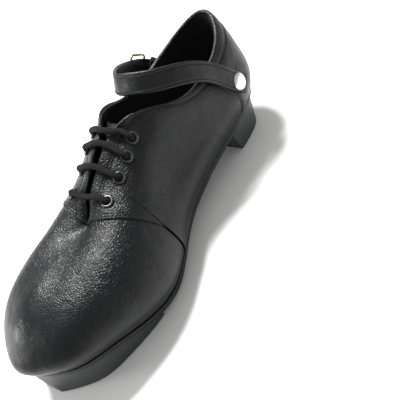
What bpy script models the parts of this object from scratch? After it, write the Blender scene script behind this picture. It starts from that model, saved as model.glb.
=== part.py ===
"""A right-foot irish dance hard shoe: a laced leather upper on a thin sole, with a hard tip and heel.

Metres, Z up, toe towards -Y, the big-toe side towards +X.
The origin is the middle of the heel's flat underside.
"""

import math

import bmesh
import bpy
import numpy as np
from mathutils import Matrix, Vector

# Driving sizes of the last and the opening
LENGTH = 0.262
BALL_WIDTH = 0.090
COLLAR_WIDTH = 0.052
SLIT_GAP = 0.009
INSTEP_HEIGHT = 0.0916
TOE_SPRING = 0.0195
HEEL_RISE = 0.0287
SWELL = 0.0049
SHOULDER = 0.0146
HEEL_CENTRE_AT = 0.871

# Thicknesses and clearances
WALL = 0.0020
OVERLAY_STEP = 0.0009
COUNTER_STEP = 0.0006
OVERLAY_SINK = 0.0007
OVERLAY_MARGIN = 0.0014
SOLE_THICKNESS = 0.0040
INSOLE_THICKNESS = 0.0022
TONGUE_THICKNESS = 0.0016
TONGUE_CLEARANCE = 0.0011
TONGUE_SPREAD = 0.030
TONGUE_FREE_END = 0.009
TONGUE_DIP = 0.0042
TONGUE_DIP_REACH = 0.0105
TONGUE_ROOT = 0.010
TONGUE_ROOT_SINK = 0.0015
EDGE_SHARE = 0.3
GAP = 0.0003

# Hard tip and heel
TIP_LENGTH = 0.072
TIP_REAR_THICKNESS = 0.0033
TIP_INSET = 0.0006
TIP_TAPER = 0.0024
TIP_NOSE = 0.028
TIP_REACH = 0.009
TIP_SHIFT = 0.007
FACET_DEPTH = 0.0048
FACET_LEAN = math.radians(2)
HEEL_LENGTH = 0.059
HEEL_INSET = 0.0008
HEEL_TAPER = 0.0050
BREAST_SLOPE = 0.0100
BLOCK_EDGE = 0.0012
BLOCK_ROOM = 0.004
SOLE_OVERHANG = 0.0009
ROOM_FROM = -0.1
ROOM_TO = 1.1

# Eyelets and lace
EYELET_INSET = 0.0160
EYELET_HOLE = 0.0026
EYELET_FLANGE = 0.0042
EYELET_RISE = 0.0008
EYELET_BARREL = 0.0005
LACE_RADIUS = 0.0020

# Strap, its fastenings and buckle
STRAP_WIDTH = 0.0140
STRAP_THICKNESS = 0.0024
BILLET_THICKNESS = 0.0018
SNAP_RADIUS = 0.0060
RIVET_RADIUS = 0.0040
CAP_RISE = 0.0016
BUCKLE_WIRE = 0.0010
BUCKLE_LENGTH = 0.0150
BUCKLE_SPARE = 0.0012
BUCKLE_CORNER = 0.0025
PRONG_RADIUS = 0.0008
KEEPER_WIDTH = 0.0050
KEEPER_THICKNESS = 0.0010
KEEPER_SPARE = 0.0012
KEEPER_CORNER = 0.0006

COLLECTION_NAME = "irish_dance_hard_shoe"

# Height of the sole's top along the length: shares of the toe spring and of the heel rise above the ball
SOLE_LINE_COLUMNS = ("at", "toe_lift", "heel_lift")
SOLE_LINE = (
    (0.00, 1.00, 0.00),
    (0.08, 0.94, 0.00),
    (0.16, 0.68, 0.00),
    (0.25, 0.27, 0.00),
    (0.34, 0.00, 0.00),
    (0.44, 0.00, 0.07),
    (0.53, 0.00, 0.23),
    (0.62, 0.00, 0.43),
    (0.69, 0.00, 0.57),
    (0.77, 0.00, 0.68),
    (0.86, 0.00, 0.81),
    (0.96, 0.00, 0.93),
    (1.00, 0.00, 1.00),
)

# Each row is a rib of the upper on both sides, from the sole's edge up to the slit's or the collar's edge.
# Shares: at and edge_at of LENGTH, widths of BALL_WIDTH, slit of SLIT_GAP, collar of COLLAR_WIDTH,
# edge_up of INSTEP_HEIGHT, swell of SWELL, rise of SHOULDER, and two pairs from the swell's top to the edge.
RIB_COLUMNS = (
    "name", "at", "medial", "lateral", "edge_at", "slit", "collar", "edge_up",
    "swell", "rise", "in_low", "up_low", "in_high", "up_high",
)
RIBS = (
    ("toe", 0.015, 0.00, 0.00, 0.350, 0.00, 0.00, 0.61, 0.82, 0.56, 0.065, 0.38, 0.18, 0.81),
    ("toe_side", 0.040, 0.21, 0.17, 0.355, 0.13, 0.00, 0.62, 0.88, 0.58, 0.055, 0.39, 0.19, 0.80),
    ("toe_corner", 0.080, 0.36, 0.31, 0.365, 0.19, 0.00, 0.64, 0.94, 0.60, 0.055, 0.41, 0.22, 0.80),
    ("toe_joint", 0.160, 0.46, 0.42, 0.380, 0.20, 0.00, 0.68, 0.98, 0.60, 0.060, 0.44, 0.29, 0.80),
    ("ball_front", 0.250, 0.52, 0.46, 0.390, 0.21, 0.00, 0.72, 1.00, 0.59, 0.070, 0.45, 0.35, 0.80),
    ("ball", 0.340, 0.51, 0.49, 0.410, 0.23, 0.00, 0.78, 1.00, 0.59, 0.090, 0.44, 0.41, 0.79),
    ("ball_rear", 0.440, 0.41, 0.47, 0.445, 0.27, 0.00, 0.84, 0.98, 0.60, 0.125, 0.42, 0.44, 0.79),
    ("waist_front", 0.530, 0.33, 0.44, 0.490, 0.36, 0.00, 0.91, 0.84, 0.56, 0.150, 0.38, 0.42, 0.82),
    ("facing_top", 0.620, 0.32, 0.41, 0.535, 0.52, 0.00, 0.96, 0.65, 0.56, 0.160, 0.36, 0.42, 0.85),
    ("waist", 0.690, 0.33, 0.37, 0.585, 0.00, 0.49, 1.00, 0.63, 0.56, 0.180, 0.36, 0.48, 0.83),
    ("breast", 0.770, 0.35, 0.34, 0.685, 0.00, 0.94, 0.87, 0.61, 0.64, 0.200, 0.36, 0.56, 0.76),
    ("heel_side", 0.860, 0.35, 0.32, 0.790, 0.00, 1.01, 0.82, 0.80, 0.85, 0.245, 0.37, 0.57, 0.75),
    ("heel_corner", 0.955, 0.27, 0.24, 0.920, 0.00, 0.79, 0.88, 0.86, 0.99, 0.145, 0.37, 0.51, 0.77),
    ("heel_back", 1.000, 0.00, 0.00, 1.000, 0.00, 0.00, 0.98, 0.96, 1.00, 0.095, 0.41, 0.44, 0.83),
)
RIBS_AROUND = 74
ROWS_UP = 12
SEAM_WIDTH = 0.0016  # share of the way round over which the counter's edge steps
COUNTER_SEAM = 0.39  # share of the way round where the counter begins, on the medial side

# Front edge of the quarters in plan, from the middle outwards: shares of BALL_WIDTH and of LENGTH
SEAM_COLUMNS = ("out", "at")
VAMP_SEAM = (
    (0.00, 0.345),
    (0.13, 0.350),
    (0.26, 0.365),
    (0.37, 0.395),
    (0.46, 0.440),
    (0.52, 0.490),
    (0.64, 0.560),
)

# Places of the tongue's root and top along the slit's edge, as shares of LENGTH
TONGUE_FROM = 0.37
TONGUE_TO = 0.53

# Places of the eyelets along the slit's edge, as shares of LENGTH, from the top pair down
EYELET_PLACES = (0.52, 0.49, 0.455, 0.415)

# Strap from the snap on the medial quarter, round the ankle's front, to its free end past the buckle.
# Shares: at of LENGTH, up of INSTEP_HEIGHT. Lean tips the top edge out, in radians.
# Beside the quarter (1), out is a share of the shoe's width there. Over the opening (0), of COLLAR_WIDTH.
STRAP_COLUMNS = ("out", "at", "up", "lean", "beside")
STRAP_PATH = (
    (0.549, 0.890, 0.530, -0.15, 1),
    (0.568, 0.860, 0.620, -0.28, 1),
    (0.624, 0.815, 0.800, -0.36, 1),
    (0.553, 0.735, 0.990, -0.35, 1),
    (0.365, 0.675, 1.070, -0.45, 0),
    (0.135, 0.655, 1.095, -0.55, 0),
    (-0.095, 0.655, 1.085, -0.55, 0),
    (-0.310, 0.680, 1.055, -0.45, 0),
    (-0.497, 0.725, 1.000, -0.30, 1),
    (-0.627, 0.780, 0.915, -0.22, 1),
    (-0.680, 0.840, 0.800, -0.25, 1),
    (-0.622, 0.880, 0.660, -0.25, 1),
)

# Short billet from the buckle down to its rivet on the lateral quarter, under the strap's free end
BILLET_PATH = (
    (-0.617, 0.840, 0.795, -0.25, 1),
    (-0.577, 0.865, 0.710, -0.25, 1),
    (-0.563, 0.885, 0.620, -0.23, 1),
    (-0.552, 0.900, 0.545, -0.15, 1),
    (-0.562, 0.915, 0.480, -0.05, 1),
)

# Outline of a domed cap: share of the radius, share of the rise
CAP_PROFILE = (
    (0.00, 1.00),
    (0.60, 0.88),
    (0.90, 0.50),
    (1.00, 0.00),
    (0.00, 0.00),
)

# Route of the prong: share of half the frame's length, share of the way up onto its bar
PRONG_ROUTE = (
    (-0.45, 0.0),
    (0.20, 0.0),
    (0.72, 0.8),
    (1.00, 1.0),
    (1.20, 1.0),
)

# Places along the strap, as shares of its length
QUARTER_FROM = 0.25
QUARTER_TO = 0.48
SNAP_AT = 0.043
BUCKLE_AT = 0.88
KEEPER_AT = 0.952
RIVET_AT = 0.84


def column(table, columns, name):
    """One named column of a table, as an array."""
    place = columns.index(name)
    return np.array([row[place] for row in table])


def along(share):
    """The Y of a share of the length, from the toe."""
    return (share - HEEL_CENTRE_AT) * LENGTH


def bends(knots, values, closed):
    """Second derivatives of a cubic spline through the values, natural or closed on itself."""
    steps = np.diff(knots)
    count = len(knots)
    system = np.zeros((count, count))
    slopes = np.diff(values, axis=0) / steps[:, None]
    right = np.zeros(values.shape)
    for i in range(1, count - 1):
        system[i, i - 1] = steps[i - 1]
        system[i, i] = 2 * (steps[i - 1] + steps[i])
        system[i, i + 1] = steps[i]
        right[i] = 6 * (slopes[i] - slopes[i - 1])
    system[0, 0] = 1
    system[-1, -1] = 1
    if closed:
        system[0, 0] = 2 * (steps[-1] + steps[0])
        system[0, 1] = steps[0]
        system[0, -2] = steps[-1]
        right[0] = 6 * (slopes[0] - slopes[-1])
        system[-1, 0] = -1
    return np.linalg.solve(system, right)


def spline(knots, values, places, closed=False):
    """The spline's points at the given places."""
    knots = np.asarray(knots, float)
    values = np.asarray(values, float).reshape(len(knots), -1)
    second = bends(knots, values, closed)
    places = np.atleast_1d(places)
    if closed:
        places = places % knots[-1]
    piece = np.clip(np.searchsorted(knots, places, side="right") - 1, 0, len(knots) - 2)
    step = (knots[piece + 1] - knots[piece])[:, None]
    far = (places - knots[piece])[:, None] / step
    near = 1 - far
    curve = (near**3 - near) * second[piece] + (far**3 - far) * second[piece + 1]
    return near * values[piece] + far * values[piece + 1] + curve * step**2 / 6


def chord_knots(points):
    """Knots from 0 to 1, spaced as the points are."""
    lengths = np.linalg.norm(np.diff(points, axis=0), axis=1)
    return np.concatenate([[0], np.cumsum(lengths)]) / lengths.sum()


def sole_top(y):
    """Height of the sole's upper face at a Y."""
    knots = along(column(SOLE_LINE, SOLE_LINE_COLUMNS, "at"))
    lifts = TOE_SPRING * column(SOLE_LINE, SOLE_LINE_COLUMNS, "toe_lift")
    lifts = lifts + HEEL_RISE * column(SOLE_LINE, SOLE_LINE_COLUMNS, "heel_lift")
    ball = TIP_REAR_THICKNESS + GAP + SOLE_THICKNESS
    inside = np.clip(np.atleast_1d(y), knots[0], knots[-1])
    return ball + spline(knots, lifts, inside)[:, 0]


def rib_points():
    """Five points of each rib, closed round the last: toe, medial side, heel, lateral side."""
    read = {name: column(RIBS, RIB_COLUMNS, name) for name in RIB_COLUMNS}
    count = len(RIBS)
    order = [(i, 1) for i in range(count)] + [(i, -1) for i in range(count - 2, 0, -1)]
    foot = []
    edge = []
    for i, side in order:
        width = read["medial"][i] if side > 0 else read["lateral"][i]
        y = along(read["at"][i])
        foot.append((side * width * BALL_WIDTH, y, sole_top(y)[0] + GAP))
        opening = read["slit"][i] * SLIT_GAP + read["collar"][i] * COLLAR_WIDTH / 2
        edge.append((side * opening, along(read["edge_at"][i]), read["edge_up"][i] * INSTEP_HEIGHT))
    foot = np.array(foot)
    edge = np.array(edge)
    way = (np.roll(foot, -1, axis=0) - np.roll(foot, 1, axis=0))[:, :2]
    way /= np.linalg.norm(way, axis=1)[:, None]
    ribs = []
    for k, (i, _) in enumerate(order):
        out = np.array((way[k, 1], -way[k, 0], 0)) * read["swell"][i] * SWELL
        swell = foot[k] + out + (0, 0, read["rise"][i] * SHOULDER)
        span = edge[k] - swell
        low = swell + span * (read["in_low"][i], read["in_low"][i], read["up_low"][i])
        high = swell + span * (read["in_high"][i], read["in_high"][i], read["up_high"][i])
        ribs.append((foot[k], swell, low, high, edge[k]))
    return np.array(ribs)


RIB_POINTS = rib_points()
CLOSED_RIBS = np.concatenate([RIB_POINTS, RIB_POINTS[:1]])
RIB_STEPS = np.linalg.norm(np.diff(CLOSED_RIBS, axis=0), axis=2).mean(axis=1)
RIB_KNOTS = np.concatenate([[0], np.cumsum(RIB_STEPS)]) / RIB_STEPS.sum()


def upper_points(turns, ups):
    """The upper's outer face at shares of the way round and shares of the way up: rows of points."""
    flat = CLOSED_RIBS.reshape(len(CLOSED_RIBS), -1)
    ribs = spline(RIB_KNOTS, flat, turns, closed=True).reshape(-1, RIB_POINTS.shape[1], 3)
    return np.array([spline(chord_knots(rib), rib, ups) for rib in ribs])


def upper_normals(turns, ups):
    """Outward normals of the same points."""
    turns = np.atleast_1d(turns)
    ups = np.atleast_1d(ups)
    small = 1e-4
    round_way = upper_points(turns + small, ups) - upper_points(turns - small, ups)
    high = np.clip(ups + small, 0, 1)
    low = np.clip(ups - small, 0, 1)
    up_way = upper_points(turns, high) - upper_points(turns, low)
    normals = np.cross(round_way, up_way)
    return normals / np.linalg.norm(normals, axis=2)[:, :, None]


def on_upper(turn, up, lift=0.0):
    """A point at a height over the upper's outer face, and the normal there."""
    normal = upper_normals(turn, up)[0, 0]
    return upper_points(turn, up)[0, 0] + normal * lift, normal


def turn_of_edge(share, side):
    """The way round at which the top edge passes a share of the length, medial (1) or lateral (-1)."""
    turns = np.linspace(0, 0.5, 400)
    edge = upper_points(turns if side > 0 else 1 - turns, 1.0)[:, 0]
    wanted = np.interp(along(share), edge[:, 1], turns)
    return wanted if side > 0 else 1 - wanted


def up_from_edge(turn, distance):
    """The way up at which a rib is this far below its top edge, along the leather."""
    ups = np.linspace(0, 1, 300)
    rib = upper_points(turn, ups)[0]
    lengths = np.concatenate([[0], np.cumsum(np.linalg.norm(np.diff(rib, axis=0), axis=1))])
    return np.interp(lengths[-1] - distance, lengths, ups)


def outline(offset):
    """The sole's edge line in plan, moved outwards by the offset: medial and lateral halves, toe to heel."""
    turns = np.linspace(0, 1, 721)
    foot = upper_points(turns, 0.0)[:, 0, :2]
    way = np.gradient(foot, axis=0)
    way[0] = way[-1] = (1, 0)
    way /= np.linalg.norm(way, axis=1)[:, None]
    moved = foot + np.stack([way[:, 1], -way[:, 0]], axis=1) * offset
    middle = len(turns) // 2
    return moved[: middle + 1], moved[middle:][::-1]


def half_widths(halves, y):
    """The two X at which an outline passes a Y, lateral and medial."""
    medial, lateral = halves
    return np.interp(y, lateral[:, 1], lateral[:, 0]), np.interp(y, medial[:, 1], medial[:, 0])


def spaced(start, end, count, trim=0.30):
    """Places from start to end that close up at both ends, as the points of a round outline do."""
    turns = np.linspace(trim / count, 1 - trim / count, count) * math.pi
    return start + (end - start) * (1 - np.cos(turns)) / 2


def new_object(name, mesh, group):
    made = bpy.data.objects.new(name, mesh)
    group.objects.link(made)
    return made


def closed_mesh(name, points, faces):
    """A mesh from points and faces, with its normals facing out."""
    mesh = bpy.data.meshes.new(name)
    mesh.from_pydata([tuple(p) for p in points], [], [tuple(int(i) for i in f) for f in faces])
    work = bmesh.new()
    work.from_mesh(mesh)
    bmesh.ops.recalc_face_normals(work, faces=work.faces)
    work.to_mesh(mesh)
    work.free()
    return mesh


def loft(name, rings, group):
    """A solid through closed rings of the same count of points, with its two ends capped."""
    rings = np.asarray(rings)
    count, around = rings.shape[:2]
    faces = [range(around), range((count - 1) * around, count * around)]
    for i in range(count - 1):
        for j in range(around):
            k = (j + 1) % around
            faces.append((i * around + j, i * around + k, (i + 1) * around + k, (i + 1) * around + j))
    return new_object(name, closed_mesh(name, rings.reshape(-1, 3), faces), group)


def band(name, outer, inner, group):
    """A wall closed round on itself, between an outer and an inner sheet of points of the same layout."""
    count, rows = outer.shape[:2]
    points = np.concatenate([outer.reshape(-1, 3), inner.reshape(-1, 3)])
    start = count * rows
    faces = []
    for i in range(count):
        k = (i + 1) % count
        for j in range(rows - 1):
            faces.append((i * rows + j, k * rows + j, k * rows + j + 1, i * rows + j + 1))
            faces.append(
                (
                    start + i * rows + j,
                    start + i * rows + j + 1,
                    start + k * rows + j + 1,
                    start + k * rows + j,
                )
            )
        last = rows - 1
        faces.append((i * rows, start + i * rows, start + k * rows, k * rows))
        faces.append((i * rows + last, k * rows + last, start + k * rows + last, start + i * rows + last))
    return new_object(name, closed_mesh(name, points, faces), group)


def apply_modifiers(item):
    """Replaces an object's mesh by the one that its modifiers make."""
    bpy.context.view_layer.update()
    evaluated = item.evaluated_get(bpy.context.evaluated_depsgraph_get())
    mesh = bpy.data.meshes.new_from_object(evaluated)
    item.modifiers.clear()
    old = item.data
    item.data = mesh
    bpy.data.meshes.remove(old)


def combine(item, other, operation, keep=False):
    """Cuts, joins or limits an object with another, which is then removed or kept as a cutter."""
    step = item.modifiers.new(operation.title(), "BOOLEAN")
    step.operation = operation
    step.object = other
    step.solver = "EXACT"
    apply_modifiers(item)
    if not keep:
        bpy.data.objects.remove(other)


def prism(name, ring, bottom, top, group):
    """An upright solid over a plan outline."""
    low = [(x, y, bottom) for x, y in ring]
    high = [(x, y, top) for x, y in ring]
    return loft(name, [low, high], group)


def as_cutter(item):
    item.hide_render = True
    item.display_type = "WIRE"
    return item


def matrix_to(point, normal, along_way=(0, 1, 0)):
    """A frame at a point with Z along the normal and Y as near as can be to the given way."""
    z = Vector(normal).normalized()
    x = Vector(along_way).cross(z).normalized()
    y = z.cross(x)
    turned = Matrix((x, y, z)).transposed().to_4x4()
    return Matrix.Translation(Vector(point)) @ turned


def turned_solid(name, profile, segments, group):
    """A ring or cap turned about Z from a closed profile of radius and height."""
    mesh = bpy.data.meshes.new(name)
    count = len(profile)
    edges = [(i, (i + 1) % count) for i in range(count)]
    if min(radius for radius, _ in profile) == 0:
        edges = edges[:-1]
    mesh.from_pydata([(radius, 0, height) for radius, height in profile], edges, [])
    item = new_object(name, mesh, group)
    screw = item.modifiers.new("Turn", "SCREW")
    screw.steps = segments
    screw.render_steps = segments
    screw.use_merge_vertices = True
    screw.merge_threshold = 0.00001
    apply_modifiers(item)
    work = bmesh.new()
    work.from_mesh(item.data)
    bmesh.ops.remove_doubles(work, verts=work.verts, dist=0.00001)
    bmesh.ops.recalc_face_normals(work, faces=work.faces)
    work.to_mesh(item.data)
    work.free()
    return item


def tube(name, points, radius, sides, group):
    """A round cord or wire through points, with closed ends, as a mesh."""
    data = bpy.data.curves.new(name, "CURVE")
    data.dimensions = "3D"
    data.bevel_depth = radius
    data.bevel_resolution = sides
    data.use_fill_caps = True
    line = data.splines.new("POLY")
    line.points.add(len(points) - 1)
    for place, point in zip(line.points, points):
        place.co = (*point, 1)
    guide = new_object(name + "_guide", data, group)
    bpy.context.view_layer.update()
    evaluated = guide.evaluated_get(bpy.context.evaluated_depsgraph_get())
    mesh = bpy.data.meshes.new_from_object(evaluated)
    bpy.data.objects.remove(guide)
    work = bmesh.new()
    work.from_mesh(mesh)
    bmesh.ops.remove_doubles(work, verts=work.verts, dist=0.00001)
    bmesh.ops.recalc_face_normals(work, faces=work.faces)
    work.to_mesh(mesh)
    work.free()
    mesh.name = name
    return new_object(name, mesh, group)


def smooth_path(points, count):
    """Points evenly along a smooth curve through the given ones."""
    points = np.asarray(points, float)
    return spline(chord_knots(points), points, np.linspace(0, 1, count))


def turns_around():
    """Shares of the way round, even, with a close pair at each edge of the counter."""
    even = np.linspace(0, 1, RIBS_AROUND, endpoint=False)
    seams = []
    for seam in (COUNTER_SEAM, 1 - COUNTER_SEAM):
        even = even[np.abs(even - seam) > 2.5 * SEAM_WIDTH]
        seams += [seam - SEAM_WIDTH / 2, seam + SEAM_WIDTH / 2]
    return np.sort(np.concatenate([even, seams]))


def make_upper(parts, cutters):
    turns = turns_around()
    ups = np.linspace(0, 1, ROWS_UP)
    outer = upper_points(turns, ups)
    inward = upper_normals(turns, ups)
    inward[:, 0, 2] = 0
    inward[:, 0] /= np.linalg.norm(inward[:, 0], axis=1)[:, None]
    inner = outer - inward * WALL
    inner[:, 0, 2] = sole_top(inner[:, 0, 1]) + GAP
    upper = band("upper", outer, inner, parts)
    combine(upper, make_quarters(turns, parts), "UNION")
    combine(upper, eyelet_cutters(cutters), "DIFFERENCE", keep=True)
    return upper


def make_quarters(turns, parts):
    """The quarters that overlap the vamp, with the counter as a further step at the heel."""
    rows = []
    normals = []
    for turn in turns:
        margin = 1 - up_from_edge(turn, OVERLAY_MARGIN)
        ups = np.linspace(margin, 1 - margin, ROWS_UP)
        rows.append(upper_points(turn, ups)[0])
        normals.append(upper_normals(turn, ups)[0])
    rows = np.array(rows)
    normals = np.array(normals)
    counter = np.abs(turns - 0.5) < 0.5 - COUNTER_SEAM
    lift = OVERLAY_STEP + COUNTER_STEP * counter
    outer = rows + normals * lift[:, None, None]
    quarters = band("quarters", outer, rows - normals * OVERLAY_SINK, parts)
    out = column(VAMP_SEAM, SEAM_COLUMNS, "out") * BALL_WIDTH
    back = along(column(VAMP_SEAM, SEAM_COLUMNS, "at"))
    front = smooth_path(np.stack([out, back], axis=1), 16)
    edge = np.concatenate([front[::-1] * (-1, 1), front[1:]])
    far = along(1) + LENGTH
    ring = [tuple(p) for p in edge] + [(edge[-1][0], far), (edge[0][0], far)]
    zone = prism("quarter_zone", ring, -LENGTH, LENGTH, parts)
    combine(quarters, zone, "INTERSECT")
    return quarters


def eyelet_frames():
    """Frame of each eyelet on the facings: name and matrix, Z out of the leather."""
    frames = []
    for side, word in ((1, "medial"), (-1, "lateral")):
        for number, place in enumerate(EYELET_PLACES, 1):
            turn = turn_of_edge(place, side)
            up = up_from_edge(turn, EYELET_INSET)
            point, normal = on_upper(turn, up, OVERLAY_STEP)
            frames.append((f"eyelet_{word}_{number}", matrix_to(point, normal)))
    return frames


def eyelet_cutters(cutters):
    """One cylinder through the wall for each eyelet, in one object."""
    work = bmesh.new()
    for _, frame in eyelet_frames():
        bmesh.ops.create_cone(
            work,
            cap_ends=True,
            segments=12,
            radius1=EYELET_HOLE,
            radius2=EYELET_HOLE,
            depth=6 * WALL,
            matrix=frame,
        )
    mesh = bpy.data.meshes.new("eyelet_holes")
    work.to_mesh(mesh)
    work.free()
    return as_cutter(new_object("eyelet_holes", mesh, cutters))


def make_eyelets(parts):
    """A flanged ring in each hole, its barrel as long as the leather is thick."""
    barrel = EYELET_HOLE - GAP
    bore = barrel - EYELET_BARREL
    low = GAP + EYELET_RISE / 2
    high = GAP + EYELET_RISE
    profile = (
        (bore, low),
        ((bore + EYELET_FLANGE) / 2, high),
        (EYELET_FLANGE, low),
        (EYELET_FLANGE, GAP),
        (barrel, GAP),
        (barrel, -WALL - OVERLAY_STEP),
        (bore, -WALL - OVERLAY_STEP),
    )
    made = []
    for name, frame in eyelet_frames():
        ring = turned_solid(name, profile, 12, parts)
        ring.data.transform(frame)
        made.append(ring)
    return made


def make_tongue(parts):
    """The tongue under the facings: arched sections below the slit, with a free end above the top."""
    spread = np.linspace(0, TONGUE_SPREAD, 6)
    tops = []
    clear = WALL + TONGUE_CLEARANCE
    for place in np.linspace(TONGUE_FROM, TONGUE_TO, 10):
        dip = TONGUE_DIP * max(0.0, 1 - (place - TONGUE_FROM) * LENGTH / TONGUE_DIP_REACH) ** 2
        sections = {}
        for side in (1, -1):
            turn = turn_of_edge(place, side)
            ups = [up_from_edge(turn, distance) for distance in spread]
            sections[side] = upper_points(turn, ups)[0] - upper_normals(turn, ups)[0] * clear
        middle = (sections[1][0] + sections[-1][0]) / 2
        tops.append(np.concatenate([sections[-1][::-1], [middle], sections[1]]) - (0, 0, dip))
    tops = np.array(tops)
    front = tops[0] - (0, TONGUE_ROOT, TONGUE_ROOT_SINK)
    rise = tops[-1] - tops[-2]
    end = tops[-1] + rise / np.linalg.norm(rise, axis=1)[:, None] * TONGUE_FREE_END
    tops = np.concatenate([[front], tops, [end]])
    across = np.gradient(tops, axis=1)
    ahead = np.gradient(tops, axis=0)
    down = np.cross(ahead, across)
    down /= np.linalg.norm(down, axis=2)[:, :, None]
    lower = tops + down * TONGUE_THICKNESS
    rings = [np.concatenate([top, low[::-1]]) for top, low in zip(tops, lower)]
    return loft("tongue", rings, parts)


def plate(name, offset, top, thickness, parts):
    """A plate that follows the sole's line, inside or outside the edge line by the offset."""
    halves = outline(offset)
    start = halves[0][0, 1]
    end = halves[0][-1, 1]
    rings = []
    edge = thickness * EDGE_SHARE
    in_by = edge * EDGE_SHARE
    for y in spaced(start, end, 38):
        left, right = half_widths(halves, y)
        z = sole_top(y)[0] + top
        rings.append(
            [
                (left + in_by, y, z),
                (right - in_by, y, z),
                (right, y, z - edge),
                (right, y, z - thickness + edge),
                (right - in_by, y, z - thickness),
                (left + in_by, y, z - thickness),
                (left, y, z - thickness + edge),
                (left, y, z - edge),
            ]
        )
    return loft(name, rings, parts)


def above_sole(cutters):
    """The room that the sole takes, from just under it upwards, as a cutter for the tip and the heel."""
    wide = BALL_WIDTH
    high = 2 * INSTEP_HEIGHT
    rings = []
    for y in np.linspace(along(ROOM_FROM), along(ROOM_TO), 60):
        z = sole_top(y)[0] - SOLE_THICKNESS - GAP
        rings.append([(-wide, y, z), (wide, y, z), (wide, y, high), (-wide, y, high)])
    return as_cutter(loft("room_over_the_blocks", rings, cutters))


def block_ring(offset, start, end, count=30):
    """A plan outline from one Y to another, closed straight across where the sole's outline goes on."""
    halves = outline(offset)
    toe = halves[0][0, 1]
    back = halves[0][-1, 1]
    low = max(start, toe)
    high = min(end, back)
    turns = np.linspace(0.02 if start < toe else 0, 0.98 if end > back else 1, count)
    shape = (1 - np.cos(turns * math.pi)) / 2
    places = low + (high - low) * shape
    left, right = half_widths(halves, places)
    return [(x, y) for x, y in zip(right, places)] + [(x, y) for x, y in zip(left[::-1], places[::-1])]


def make_block(name, rings_at, room, parts):
    """A block lofted from plan outlines at rising heights, and cut to the sole's underside."""
    rings = [[(x, y, z) for x, y in ring] for ring, z in rings_at]
    block = loft(name, rings, parts)
    combine(block, room, "DIFFERENCE", keep=True)
    return block


def reached(ring):
    """A plan outline of the tip whose nose reaches forwards and to the lateral side."""
    nose = min(y for _, y in ring)
    start = along(0) + TIP_NOSE
    moved = []
    for x, y in ring:
        far = (max(0.0, start - y) / (start - nose)) ** 1.5
        moved.append((x - TIP_SHIFT * far, y - TIP_REACH * far))
    return moved


def make_tip(room, parts, cutters):
    """The hard tip: its nose flares forwards to the ground and is cut flat in front."""
    rear = along(0) + TIP_LENGTH
    high = TIP_REAR_THICKNESS + TOE_SPRING + BLOCK_ROOM
    inset = TIP_INSET + TIP_TAPER
    rings = (
        (reached(block_ring(-inset - BLOCK_EDGE / 2, -LENGTH, rear - BLOCK_EDGE / 2)), 0.0),
        (reached(block_ring(-inset, -LENGTH, rear)), BLOCK_EDGE),
        (block_ring(-TIP_INSET, -LENGTH, rear), high),
    )
    tip = make_block("toe_tip", rings, room, parts)
    nose = outline(-inset)[0][0][1] - TIP_REACH
    mesh = bpy.data.meshes.new("facet_room")
    work = bmesh.new()
    bmesh.ops.create_cube(work, size=BALL_WIDTH)
    work.to_mesh(mesh)
    work.free()
    facet = as_cutter(new_object("facet_room", mesh, cutters))
    reach = Vector((0, -BALL_WIDTH / 2, 0))
    hinge = Vector((0, nose + FACET_DEPTH, 0))
    lean = Matrix.Rotation(FACET_LEAN, 4, "X")
    facet.data.transform(Matrix.Translation(hinge) @ lean @ Matrix.Translation(reach))
    combine(tip, facet, "DIFFERENCE", keep=True)
    return tip


def make_heel(room, parts):
    """The heel block, its breast sloping back towards the ground."""
    back = along(1)
    front = back - HEEL_LENGTH
    high = TIP_REAR_THICKNESS + HEEL_RISE + BLOCK_ROOM
    rings = (
        (block_ring(-HEEL_INSET - HEEL_TAPER - BLOCK_EDGE / 2, front + BREAST_SLOPE, LENGTH), 0.0),
        (block_ring(-HEEL_INSET - HEEL_TAPER, front + BREAST_SLOPE - BLOCK_EDGE / 2, LENGTH), BLOCK_EDGE),
        (block_ring(-HEEL_INSET, front, LENGTH), high),
    )
    return make_block("heel", rings, room, parts)


def quarter_width(side, y, z):
    """The shoe's width at a place beside the heel: twice the way from the middle out to the upper's face."""
    turns = np.linspace(QUARTER_FROM, QUARTER_TO, 24)
    faces = upper_points(turns if side > 0 else 1 - turns, np.linspace(0, 1, 31))
    out = [np.interp(z, rib[:, 2], np.abs(rib[:, 0])) for rib in faces]
    back = [np.interp(z, rib[:, 2], rib[:, 1]) for rib in faces]
    return 2 * np.interp(y, back, out)


def strip_line(table, places):
    """A strip's middle line at shares of its length, its outward normals and the way of its width."""
    out = column(table, STRAP_COLUMNS, "out")
    beside = column(table, STRAP_COLUMNS, "beside")
    back = along(column(table, STRAP_COLUMNS, "at"))
    height = column(table, STRAP_COLUMNS, "up") * INSTEP_HEIGHT
    widths = np.array([quarter_width(*place) for place in zip(out, back, height)])
    out = out * (beside * widths + (1 - beside) * COLLAR_WIDTH)
    points = np.stack([out, back, height], axis=1)
    knots = chord_knots(points)
    small = 1e-3
    middle = spline(knots, points, places)
    leans = spline(knots, column(table, STRAP_COLUMNS, "lean"), places)
    ahead = np.clip(np.atleast_1d(places) + small, 0, 1)
    behind = np.clip(np.atleast_1d(places) - small, 0, 1)
    way = spline(knots, points, ahead) - spline(knots, points, behind)
    way /= np.linalg.norm(way, axis=1)[:, None]
    outward = np.cross((0, 0, 1), way)
    outward /= np.linalg.norm(outward, axis=1)[:, None]
    upward = np.cross(way, outward)
    wide = upward * np.cos(leans) + outward * np.sin(leans)
    return middle, np.cross(wide, way), wide


def strip_frame(table, place, lift):
    """A frame over a strip's outer side: Z outwards, Y along its width."""
    middle, outward, wide = strip_line(table, place)
    return matrix_to(middle[0] + outward[0] * lift, outward[0], wide[0])


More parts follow.
